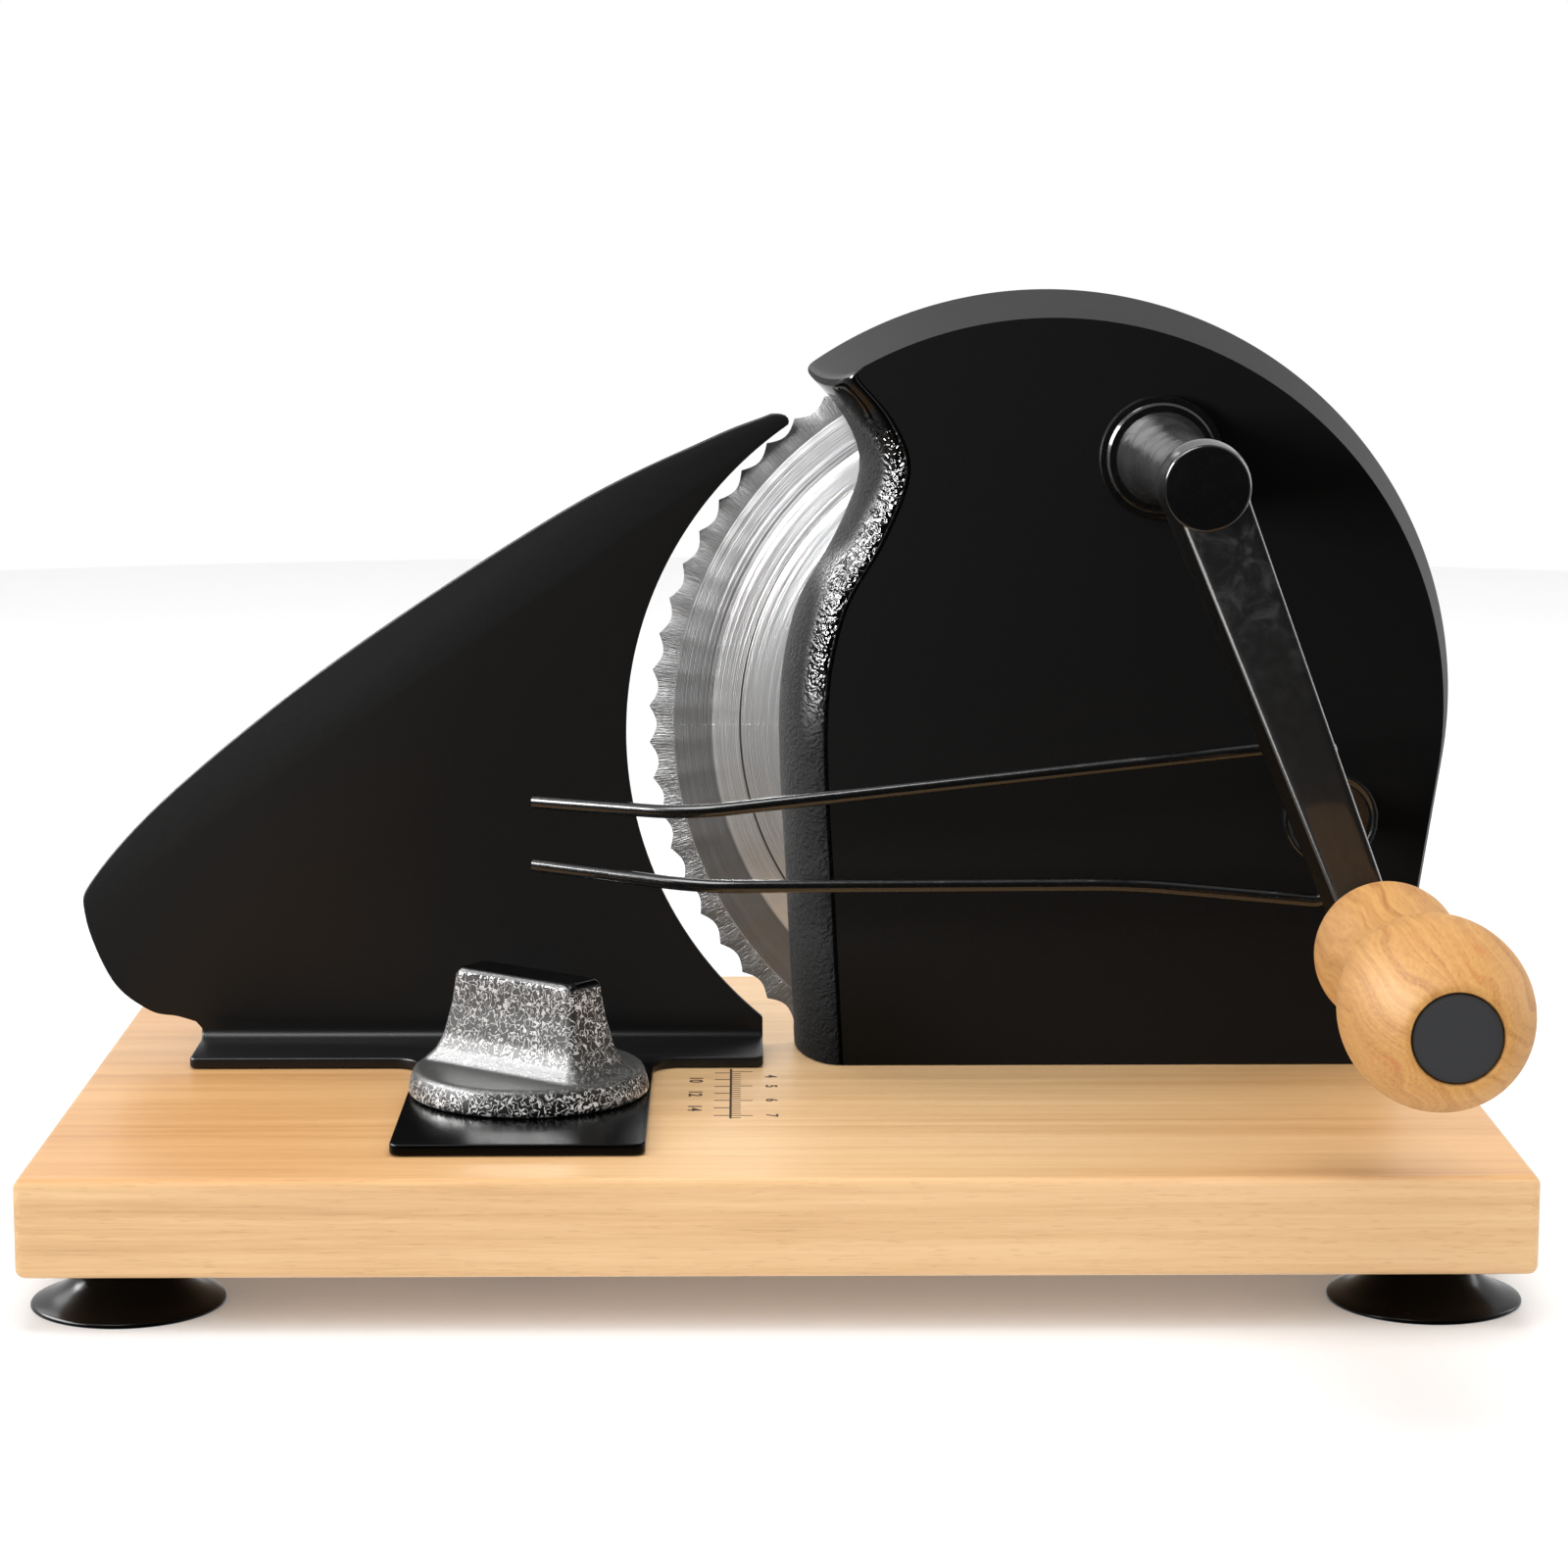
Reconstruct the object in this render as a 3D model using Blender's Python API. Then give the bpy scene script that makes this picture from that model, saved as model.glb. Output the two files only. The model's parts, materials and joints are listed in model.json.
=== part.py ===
"""Manual bread slicer: a wooden board on suction cups, a cast case with a crank and gears that turn a
scalloped round blade, a sliding stop plate that sets the slice's thickness, and a swinging slice guard.

Everything is modelled in the board's frame: X from the board's middle to the right, Y from its front edge
to the back, Z up from its top. At the end the whole object is moved so that the middle of its box stands
on the origin. Lengths are in metres, angles in degrees."""

import math

import bmesh
import bpy
from mathutils import Matrix, Vector

# Clearances
SEAT_GAP = 0.0003
RUNNING_GAP = 0.0003
BLADE_GAP = 0.0012
BLADE_RIM_GAP = 0.0008
# How far a cutter runs past the face that it opens
CUT_PAST = 0.001

# Board
BOARD_LENGTH = 0.366
BOARD_DEPTH = 0.240
BOARD_THICKNESS = 0.0245
BOARD_CHAMFER = 0.0024

# Suction cups
CUP_RADIUS = 0.024
CUP_HEIGHT = 0.0132
CUP_NECK_RADIUS = 0.0119
CUP_END_INSET = 0.023
CUP_EDGE_INSET = 0.0274
CUP_LIP = 0.0015
CUP_WEB = 0.0052
CUP_SCREW_RADIUS = 0.002
CUP_SCREW_HEAD = 0.0042
CUP_SCREW_HEAD_HEIGHT = 0.0022
CUP_SCREW_BITE = 0.014

# Blade
BLADE_RADIUS = 0.107
BLADE_THICKNESS = 0.0014
BLADE_EDGE = 0.0003
BLADE_BEVEL = 0.0068
BLADE_AXIS_X = 0.073
BLADE_AXIS_Z = 0.0891
SCALLOP_COUNT = 67
SCALLOP_DEPTH = 0.0021
SCALLOP_POINTS = 3

# Gears: the crank's pinion drives the wheel that carries the blade
GEAR_MODULE = 0.002
PINION_TEETH = 20
WHEEL_TEETH = 60
PRESSURE_ANGLE = 20
GEAR_BACKLASH = 0.0003
FLANK_POINTS = 3
WHEEL_WIDTH = 0.008
PINION_WIDTH = 0.009
CRANK_BEARING = 68.9
LIGHTENING_HOLES = 5
LIGHTENING_RADIUS = 0.010
LIGHTENING_CIRCLE = 0.040

# Case
CASE_REAR = 0.1494
CASE_CENTRE_X = 0.0735
CASE_CENTRE_Z = 0.0956
CASE_RADIUS = 0.1113
CASE_DEPTH = 0.030
CASE_DRAFT = 0.0066
CASE_WALL = 0.0024
CASE_FACE = 0.003
CASE_ROLL = 0.0125
CASE_SIDE_LEAN = 8.4
CASE_NOSE = 0.003
CASE_RIM_OVERHANG = 0.0014
CASE_BOSS_HEIGHT = 0.014
CASE_BOSS_RADIUS = 0.0055
CASE_SCREW_RADIUS = 0.0019
CASE_SCREW_HEAD = 0.0036
CASE_SCREW_HEAD_HEIGHT = 0.0026
CASE_SCREW_INSET = 0.018
# The open edge that the slice slides over, from the board up, past the nose
CASE_EDGE = (
    (0.0060, -0.0040),
    (0.0034, 0.0450),
    (0.0014, 0.0930),
    (0.0058, 0.1215),
    (0.0168, 0.1420),
    (0.0232, 0.1600),
    (0.0188, 0.1732),
    (0.0103, 0.1834),
    (0.0020, 0.1925),
)

# Blade bearing
AXLE_RADIUS = 0.005
AXLE_ROOT_RADIUS = 0.0065
AXLE_ROOT_DEPTH = 0.0075
AXLE_BOSS_RADIUS = 0.0105
HUB_SLEEVE_RADIUS = 0.012
HUB_FLANGE_RADIUS = 0.030
HUB_FLANGE = 0.004
HUB_SPIGOT_RADIUS = 0.009
BLADE_SCREW_CIRCLE = 0.022
BLADE_SCREW_RADIUS = 0.002
BLADE_SCREW_HEAD = 0.004
BLADE_SCREW_HEAD_HEIGHT = 0.0016
NUT_RADIUS = 0.0075
NUT_HEIGHT = 0.0055
WASHER_RADIUS = 0.0105
WASHER_THICKNESS = 0.0012

# Crank
SHAFT_RADIUS = 0.006
BUSH_RADIUS = 0.009
BUSH_FLANGE_RADIUS = 0.0164
BUSH_FLANGE = 0.003
BUSH_STEP_RADIUS = 0.0143
BUSH_STEP = 0.0016
CRANK_BOSS_RADIUS = 0.012
NECK_REAR_RADIUS = 0.0124
NECK_WAIST_RADIUS = 0.0094
NECK_FRONT_RADIUS = 0.0102
NECK_LENGTH = 0.089
ARM_THICKNESS = 0.008
ARM_TOP_WIDTH = 0.0190
ARM_END_WIDTH = 0.0125
ARM_END_RADIUS = 0.0085
ARM_EDGE = 0.0009
CRANK_RADIUS = 0.1187
CRANK_REST = 21.6
CAP_RADIUS = 0.0105
CAP_THICKNESS = 0.0020
CLIP_THICKNESS = 0.001
SHAFT_END = 0.0015

# Crank handle
HANDLE_LENGTH = 0.104
HANDLE_END_RADIUS = 0.0115
# Share of the length from the arm, and radius
HANDLE_PROFILE = (
    (0.012, 0.0130),
    (0.040, 0.0157),
    (0.095, 0.0174),
    (0.165, 0.0170),
    (0.260, 0.0158),
    (0.350, 0.0151),
    (0.440, 0.0156),
    (0.540, 0.0182),
    (0.630, 0.0205),
    (0.710, 0.0215),
    (0.790, 0.0212),
    (0.870, 0.0193),
    (0.940, 0.0162),
    (0.985, 0.0131),
)
SPINDLE_RADIUS = 0.004
SPINDLE_HEAD = 0.007
SPINDLE_HEAD_HEIGHT = 0.003
SPINDLE_RIVET_HEIGHT = 0.0024
HANDLE_CAP_RADIUS = 0.0099
HANDLE_CAP_THICKNESS = 0.0028
HANDLE_RECESS = 0.014

# Stop plate, a bent sheet with a foot and a tongue
PLATE_THICKNESS = 0.0028
SLICE_SETTING = 0.0018
PLATE_BEND = 0.0025
PLATE_TIP = 0.0014
PLATE_EDGE = 0.0004
FOOT_LEFT = -0.157
FOOT_RIGHT = -0.003
FOOT_REACH = 0.0282
FOOT_CORNER = 0.002
TONGUE_WIDTH = 0.0628
TONGUE_CORNER = 0.003
TONGUE_FILLET = 0.007
TONGUE_REACH = 0.1229
# The blade's side of the plate is an arc, set off from the blade's own circle
PLATE_ARC_INSET = 0.005
PLATE_ARC_SHIFT_X = -0.011
PLATE_ARC_SHIFT_Z = -0.0021
# The long outer edge from the tip down to the foot
PLATE_EDGE_POINTS = (
    (-0.0006, 0.1738),
    (-0.0182, 0.1668),
    (-0.0570, 0.1476),
    (-0.1176, 0.1080),
    (-0.1628, 0.0721),
    (-0.1852, 0.0482),
    (-0.1882, 0.0372),
    (-0.1813, 0.0192),
    (-0.1715, 0.0108),
    (-0.1636, 0.0090),
    (-0.1586, 0.0075),
)

# Clamp of the stop plate
KNOB_X = -0.0637
KNOB_Y = 0.0774
KNOB_RADIUS = 0.0311
KNOB_RIM_DRAFT = 0.0018
KNOB_RIM = 0.0069
KNOB_HEIGHT = 0.0312
KNOB_REST = -38
GRIP_TOP_LENGTH = 0.0400
GRIP_TOP_WIDTH = 0.0094
GRIP_ROOT_LENGTH = 0.0520
GRIP_ROOT_WIDTH = 0.0250
GRIP_CORNER = 0.0022
# Share of the grip's height, and how far it has spread from its top's size to its root's
GRIP_SECTIONS = (
    (-0.08, 1.0),
    (0.03, 0.80),
    (0.12, 0.56),
    (0.28, 0.36),
    (0.62, 0.14),
    (0.95, 0.02),
    (1.0, -0.10),
)
STUD_RADIUS = 0.004
INSERT_RADIUS = 0.006
INSERT_DEPTH = 0.016
INSERT_END = 0.0015
SLOT_CLEARANCE = 0.0004
CLAMP_GROOVE_WIDTH = 0.026
CLAMP_GROOVE_DEPTH = 0.0095
CLAMP_PLATE_WIDTH = 0.022
CLAMP_PLATE_LENGTH = 0.030
CLAMP_PLATE_THICKNESS = 0.003
STUD_HEAD_RADIUS = 0.0075
STUD_HEAD = 0.004
GUIDE_PIN_Y = 0.128
GUIDE_PIN_DEPTH = 0.012
GUIDE_PIN_HEAD = 0.0062
GUIDE_PIN_HEAD_HEIGHT = 0.002
SLIDE_BACK = 0.0018
SLIDE_FORWARD = 0.018

# Slice guard
GUARD_X = 0.1451
GUARD_Z = 0.0711
GUARD_REACH = 0.0224
WIRE_RADIUS = 0.0018
DISC_RADIUS = 0.0123
DISC_THICKNESS = 0.0046
DISC_RIM = 0.0014
DISC_DISH = 0.0009
GUARD_POST_RADIUS = 0.0058
GUARD_SCREW_RADIUS = 0.003
GUARD_SCREW_HEAD = 0.0052
GUARD_SCREW_HEAD_HEIGHT = 0.0024
WIRE_END_BACK = 0.021
# Wire ends and bends, left to right, from the disc's middle: X and Z
UPPER_WIRE = ((-0.2089, 0.0013), (-0.1682, 0.0015), (0.0, 0.0203))
LOWER_WIRE = ((-0.2091, -0.0157), (-0.1644, -0.0179), (-0.0520, -0.0174), (0.0, -0.0222))

# Facets
LARGE_ROUND = 72
ROUND = 24
SMALL_ROUND = 14
SCREW_ROUND = 10
CUP_ROUND = 18
KNOB_ROUND = 48
HANDLE_ROUND = 26

# Derived places
UNDERSIDE = -BOARD_THICKNESS
CASE_FRONT = CASE_REAR - CASE_DEPTH
BLADE_REAR = CASE_REAR - CASE_RIM_OVERHANG
BLADE_FRONT = BLADE_REAR - BLADE_THICKNESS
CENTRE_DISTANCE = GEAR_MODULE * (PINION_TEETH + WHEEL_TEETH) / 2
CRANK_X = BLADE_AXIS_X + CENTRE_DISTANCE * math.cos(math.radians(CRANK_BEARING))
CRANK_Z = BLADE_AXIS_Z + CENTRE_DISTANCE * math.sin(math.radians(CRANK_BEARING))
CASE_INSIDE = CASE_FRONT + CASE_FACE
HUB_REAR = BLADE_FRONT - SEAT_GAP
WHEEL_REAR = HUB_REAR - HUB_FLANGE - SEAT_GAP
WHEEL_FRONT = WHEEL_REAR - WHEEL_WIDTH
BOSS_END = WHEEL_FRONT - WASHER_THICKNESS - 3 * SEAT_GAP
PINION_FRONT = WHEEL_FRONT - (PINION_WIDTH - WHEEL_WIDTH) / 2
PINION_REAR = PINION_FRONT + PINION_WIDTH
BUSH_FRONT = CASE_FRONT - SEAT_GAP - BUSH_FLANGE - BUSH_STEP
NECK_REAR = BUSH_FRONT - SEAT_GAP
ARM_REAR = NECK_REAR - NECK_LENGTH
ARM_FRONT = ARM_REAR - ARM_THICKNESS
HANDLE_X = CRANK_X + CRANK_RADIUS * math.sin(math.radians(CRANK_REST))
HANDLE_Z = CRANK_Z - CRANK_RADIUS * math.cos(math.radians(CRANK_REST))
HANDLE_REAR = ARM_FRONT - SEAT_GAP
HANDLE_FRONT = HANDLE_REAR - HANDLE_LENGTH
PLATE_REAR = BLADE_FRONT - SLICE_SETTING
PLATE_FRONT = PLATE_REAR - PLATE_THICKNESS
FOOT_TOP = SEAT_GAP + PLATE_THICKNESS
BEND_TOP = FOOT_TOP + PLATE_BEND
BEND_FRONT = PLATE_FRONT - PLATE_BEND
FOOT_FRONT = PLATE_REAR - FOOT_REACH
TONGUE_FRONT = PLATE_REAR - TONGUE_REACH
PLATE_ARC_RADIUS = BLADE_RADIUS - PLATE_ARC_INSET
PLATE_ARC_X = BLADE_AXIS_X + PLATE_ARC_SHIFT_X
PLATE_ARC_Z = BLADE_AXIS_Z + PLATE_ARC_SHIFT_Z
KNOB_BOTTOM = FOOT_TOP + SEAT_GAP
CLAMP_LEDGE = UNDERSIDE + CLAMP_GROOVE_DEPTH
WIRE_Y = CASE_FRONT - GUARD_REACH
DISC_REAR = WIRE_Y + DISC_THICKNESS / 2
DISC_FRONT = WIRE_Y - DISC_THICKNESS / 2


def clear_scene():
    for obj in list(bpy.data.objects):
        bpy.data.objects.remove(obj, do_unlink=True)


def make_material(name, colour, roughness, metallic=0.0):
    material = bpy.data.materials.new(name)
    material.use_nodes = True
    shader = material.node_tree.nodes["Principled BSDF"]
    shader.inputs["Base Color"].default_value = (*colour, 1.0)
    shader.inputs["Roughness"].default_value = roughness
    shader.inputs["Metallic"].default_value = metallic
    material.diffuse_color = (*colour, 1.0)
    return material


def make_empty(name, location, parent=None):
    """An axis or a frame that pieces hang from."""
    empty = bpy.data.objects.new(name, None)
    empty.empty_display_size = 0.02
    empty.location = location
    empty.parent = parent
    bpy.context.collection.objects.link(empty)
    return empty


def place(name, data, material, parent, location=(0, 0, 0)):
    data.materials.append(material)
    obj = bpy.data.objects.new(name, data)
    obj.parent = parent
    obj.location = location
    bpy.context.collection.objects.link(obj)
    return obj


def finish(name, bm, material, parent, location=(0, 0, 0), sharp=35):
    """Turn a bmesh into a smooth-shaded object whose hard edges stay sharp."""
    bmesh.ops.remove_doubles(bm, verts=bm.verts, dist=1e-7)
    bmesh.ops.recalc_face_normals(bm, faces=bm.faces)
    mesh = bpy.data.meshes.new(name)
    bm.to_mesh(mesh)
    bm.free()
    mesh.shade_smooth()
    mesh.set_sharp_from_angle(angle=math.radians(sharp))
    return place(name, mesh, material, parent, location)


def boolean(target, tool, operation="DIFFERENCE"):
    """Cut a hidden tool out of a piece, or weld it on."""
    tool.hide_render = True
    tool.display_type = "WIRE"
    modifier = target.modifiers.new(tool.name, "BOOLEAN")
    modifier.operation = operation
    modifier.solver = "EXACT"
    modifier.object = tool
    return target


def bevel(target, width, segments=1, angle=50):
    modifier = target.modifiers.new("edges", "BEVEL")
    modifier.width = width
    modifier.segments = segments
    modifier.limit_method = "ANGLE"
    modifier.angle_limit = math.radians(angle)
    return target


def lathe(profile, axis="Y", sides=ROUND, closed=False):
    """Spin a profile of (radius, height) about an axis. A closed profile gives a ring."""
    bm = bmesh.new()
    verts = [bm.verts.new((radius, 0, height)) for radius, height in profile]
    pairs = list(zip(verts, verts[1:]))
    if closed:
        pairs.append((verts[-1], verts[0]))
    edges = [bm.edges.new(pair) for pair in pairs]
    bmesh.ops.spin(
        bm,
        geom=verts + edges,
        cent=(0, 0, 0),
        axis=(0, 0, 1),
        angle=math.tau,
        steps=sides,
        use_merge=True,
    )
    bmesh.ops.remove_doubles(bm, verts=bm.verts, dist=1e-7)
    if axis == "Y":
        turn = Matrix.Rotation(-math.pi / 2, 3, "X")
        bmesh.ops.rotate(bm, verts=bm.verts, cent=(0, 0, 0), matrix=turn)
    return bm


def cylinder(radius, low, high, axis="Y", sides=ROUND):
    return lathe(((0, low), (radius, low), (radius, high), (0, high)), axis, sides)


def ring(outer, inner, low, high, axis="Y", sides=ROUND):
    return lathe(((inner, low), (outer, low), (outer, high), (inner, high)), axis, sides, closed=True)


def prism(outline, low, high, axis="Y"):
    """Extrude an outline, given in X and Z for the Y axis or in X and Y for the Z axis."""
    bm = bmesh.new()
    if axis == "Y":
        corners = [Vector((a, low, b)) for a, b in outline]
        step = Vector((0, high - low, 0))
    else:
        corners = [Vector((a, b, low)) for a, b in outline]
        step = Vector((0, 0, high - low))
    face = bm.faces.new([bm.verts.new(corner) for corner in corners])
    swept = bmesh.ops.extrude_face_region(bm, geom=[face])
    moved = [part for part in swept["geom"] if isinstance(part, bmesh.types.BMVert)]
    bmesh.ops.translate(bm, verts=moved, vec=step)
    bmesh.ops.recalc_face_normals(bm, faces=bm.faces)
    return bm


def block(low, high):
    outline = ((low[0], low[1]), (high[0], low[1]), (high[0], high[1]), (low[0], high[1]))
    return prism(outline, low[2], high[2], "Z")


def arc(centre, radius, start, end, count):
    """Points on an arc between two angles in degrees, both ends included."""
    points = []
    for step in range(count):
        angle = math.radians(start + (end - start) * step / (count - 1))
        points.append((centre[0] + radius * math.cos(angle), centre[1] + radius * math.sin(angle)))
    return points


def rounded(corners, count=4):
    """An outline whose corners, given as (x, y, radius), are rounded."""
    points = []
    total = len(corners)
    for index, (x, y, radius) in enumerate(corners):
        here = Vector((x, y))
        before = Vector(corners[index - 1][:2]) - here
        after = Vector(corners[(index + 1) % total][:2]) - here
        if radius <= 0:
            points.append(tuple(here))
            continue
        half = before.angle(after) / 2
        reach = radius / math.tan(half)
        start = here + before.normalized() * reach
        end = here + after.normalized() * reach
        middle = here + (before.normalized() + after.normalized()).normalized() * radius / math.sin(half)
        first = start - middle
        turn = first.angle_signed(end - middle)
        for step in range(count):
            spun = Matrix.Rotation(-turn * step / (count - 1), 2) @ first
            points.append(tuple(middle + spun))
    return points


def smooth_curve(points, per_span):
    """A Catmull-Rom curve through the given points, in any number of dimensions."""
    knots = [Vector(point) for point in points]
    ends = [2 * knots[0] - knots[1]] + knots + [2 * knots[-1] - knots[-2]]
    curve = []
    for index in range(1, len(ends) - 2):
        a, b, c, d = ends[index - 1 : index + 3]
        for step in range(per_span):
            t = step / per_span
            square = (2 * a - 5 * b + 4 * c - d) * t**2
            cube = (3 * b - a - 3 * c + d) * t**3
            curve.append(0.5 * (2 * b + (c - a) * t + square + cube))
    curve.append(knots[-1])
    return curve


def resample(points, count):
    """The given number of points, evenly spaced along a polyline."""
    lengths = [0.0]
    for start, end in zip(points, points[1:]):
        lengths.append(lengths[-1] + (end - start).length)
    spaced = []
    span = 0
    for step in range(count):
        target = lengths[-1] * step / (count - 1)
        while span < len(points) - 2 and lengths[span + 1] < target:
            span += 1
        share = (target - lengths[span]) / max(lengths[span + 1] - lengths[span], 1e-12)
        spaced.append(points[span].lerp(points[span + 1], share))
    return spaced


def loft(bm, loops):
    """Join closed loops of equal count, each to the next."""
    for near, far in zip(loops, loops[1:]):
        total = len(near)
        for index in range(total):
            after = (index + 1) % total
            bm.faces.new((near[index], near[after], far[after], far[index]))


def hexagon(radius):
    return polar_places(6, radius, start=0)


def polar_places(count, radius, start=90):
    """Places on a circle in X and Z."""
    places = []
    for index in range(count):
        angle = math.radians(start + 360 * index / count)
        places.append((radius * math.cos(angle), radius * math.sin(angle)))
    return places


def cup_places():
    half = BOARD_LENGTH / 2 - CUP_END_INSET
    return {
        "front_left": (-half, CUP_EDGE_INSET),
        "front_right": (half, CUP_EDGE_INSET),
        "rear_left": (-half, BOARD_DEPTH - CUP_EDGE_INSET),
        "rear_right": (half, BOARD_DEPTH - CUP_EDGE_INSET),
    }


def case_screw_places():
    """Three screws along the case's floor, in front of the blade."""
    left = CASE_EDGE[1][0] + CASE_SCREW_INSET
    right = case_side(0.0) - CASE_SCREW_INSET
    depth = (CASE_INSIDE + BLADE_FRONT) / 2 - CASE_WALL
    return [(left, depth), ((left + right) / 2, depth), (right, depth)]


def case_side(draft):
    """X of the case's leaning side where it meets the board."""
    lean = math.radians(CASE_SIDE_LEAN)
    radius = CASE_RADIUS - draft
    top = CASE_CENTRE_Z - radius * math.sin(lean)
    return CASE_CENTRE_X + radius * math.cos(lean) - top * math.tan(lean)


def case_section(share, wall, floor):
    """The case's outline at one depth, from its foot up the open edge, round the top and down the side."""
    turn = math.radians(90 * share)
    draft = CASE_DRAFT * math.sin(turn)
    shift = CASE_ROLL * (1 - math.cos(turn)) + wall
    radius = CASE_RADIUS - draft - wall
    centre = Vector((CASE_CENTRE_X, CASE_CENTRE_Z))
    edge = [point + Vector((shift, 0)) for point in smooth_curve(CASE_EDGE, 12)]
    kept = []
    for start, end in zip(edge, edge[1:]):
        if end.y < floor:
            continue
        if start.y < floor:
            start = start.lerp(end, (floor - start.y) / (end.y - start.y))
        kept.append(start)
        if end.y > centre.y and (end - centre).length > radius:
            inside = radius - (start - centre).length
            outside = (end - centre).length - radius
            kept.append(start.lerp(end, inside / (inside + outside)))
            break
    corner = kept[-1]
    edge_points = resample(kept, 21)
    before = edge_points[-1] + (edge_points[-2] - edge_points[-1]).normalized() * CASE_NOSE
    tip_angle = math.degrees(math.atan2(corner.y - centre.y, corner.x - centre.x))
    nose_angle = tip_angle - math.degrees(CASE_NOSE / radius)
    after = Vector(arc(centre, radius, nose_angle, nose_angle, 2)[0])
    nose = []
    for step in range(1, 4):
        t = step / 4
        nose.append(before * (1 - t) ** 2 + corner * 2 * t * (1 - t) + after * t**2)
    top = arc(centre, radius, nose_angle, -CASE_SIDE_LEAN, 34)
    lean = math.radians(CASE_SIDE_LEAN)
    side_top = Vector(top[-1])
    foot = (side_top.x - (side_top.y - floor) * math.tan(lean), floor)
    front = [tuple(point) for point in edge_points[:-1] + [before] + nose]
    return front + top + [foot]


def case_loop(bm, share, wall, floor, depth):
    y = CASE_REAR - depth * math.sin(math.radians(90 * share))
    return [bm.verts.new((x, y, z)) for x, z in case_section(share, wall, floor)]


def gear_outline(teeth, phase):
    """An involute gear in X and Z, with a tooth centred on the phase angle."""
    pitch = GEAR_MODULE * teeth / 2
    base = pitch * math.cos(math.radians(PRESSURE_ANGLE))
    root = pitch - 1.25 * GEAR_MODULE
    tip = pitch + GEAR_MODULE
    start = max(root, base)
    at_pitch = math.tan(math.radians(PRESSURE_ANGLE)) - math.radians(PRESSURE_ANGLE)
    half_pitch = math.pi / (2 * teeth) - GEAR_BACKLASH / (2 * pitch)
    flank = []
    if base > root:
        flank.append((root, half_pitch + at_pitch))
    for step in range(FLANK_POINTS):
        radius = start + (tip - start) * step / (FLANK_POINTS - 1)
        pressure = math.acos(min(1.0, base / radius))
        flank.append((radius, half_pitch + at_pitch - (math.tan(pressure) - pressure)))
    outline = []
    for tooth in range(teeth):
        middle = phase + math.tau * tooth / teeth
        for radius, half in flank:
            outline.append((radius * math.cos(middle - half), radius * math.sin(middle - half)))
        for radius, half in reversed(flank):
            outline.append((radius * math.cos(middle + half), radius * math.sin(middle + half)))
    return outline


def make_board(frame, wood):
    half = BOARD_LENGTH / 2
    board = finish("board", block((-half, 0, UNDERSIDE), (half, BOARD_DEPTH, 0)), wood, frame)
    bevel(board, BOARD_CHAMFER, 2)
    kerf_radius = BLADE_RADIUS + BLADE_GAP
    kerf = cylinder(kerf_radius, BLADE_FRONT - BLADE_GAP, BLADE_REAR + BLADE_GAP, sides=LARGE_ROUND)
    boolean(board, finish("tool_kerf", kerf, wood, frame, (BLADE_AXIS_X, 0, BLADE_AXIS_Z)))
    slot_half = STUD_RADIUS + SLOT_CLEARANCE
    slot_front = KNOB_Y - SLIDE_FORWARD - slot_half - SLOT_CLEARANCE
    slot_rear = GUIDE_PIN_Y + SLIDE_BACK + slot_half + SLOT_CLEARANCE
    outline = rounded(
        (
            (KNOB_X - slot_half, slot_front, slot_half * 0.98),
            (KNOB_X + slot_half, slot_front, slot_half * 0.98),
            (KNOB_X + slot_half, slot_rear, slot_half * 0.98),
            (KNOB_X - slot_half, slot_rear, slot_half * 0.98),
        ),
        5,
    )
    slot = prism(outline, UNDERSIDE - BOARD_CHAMFER, BOARD_CHAMFER, "Z")
    boolean(board, finish("tool_slot", slot, wood, frame))
    reach = CLAMP_PLATE_LENGTH / 2 + 2 * SLOT_CLEARANCE
    groove = block(
        (KNOB_X - CLAMP_GROOVE_WIDTH / 2, KNOB_Y - SLIDE_FORWARD - reach, UNDERSIDE - BOARD_CHAMFER),
        (KNOB_X + CLAMP_GROOVE_WIDTH / 2, KNOB_Y + SLIDE_BACK + reach, CLAMP_LEDGE),
    )
    boolean(board, finish("tool_groove", groove, wood, frame))
    for number, (x, y) in enumerate(case_screw_places()):
        head = CASE_SCREW_HEAD + 2 * SEAT_GAP
        shank = CASE_SCREW_RADIUS + SEAT_GAP
        ledge = UNDERSIDE + BOARD_THICKNESS / 2
        mouth = UNDERSIDE - CUT_PAST
        steps = ((0, mouth), (head, mouth), (head, ledge), (shank, ledge), (shank, CUT_PAST), (0, CUT_PAST))
        hole = lathe(steps, "Z", SMALL_ROUND)
        boolean(board, finish(f"tool_case_hole_{number}", hole, wood, frame, (x, y, 0)))
    for name, (x, y) in cup_places().items():
        depth = UNDERSIDE + CUP_SCREW_BITE + 2 * SEAT_GAP
        hole = cylinder(CUP_SCREW_RADIUS + SEAT_GAP, UNDERSIDE - CUT_PAST, depth, "Z", SMALL_ROUND)
        boolean(board, finish(f"tool_cup_hole_{name}", hole, wood, frame, (x, y, 0)))


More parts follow.
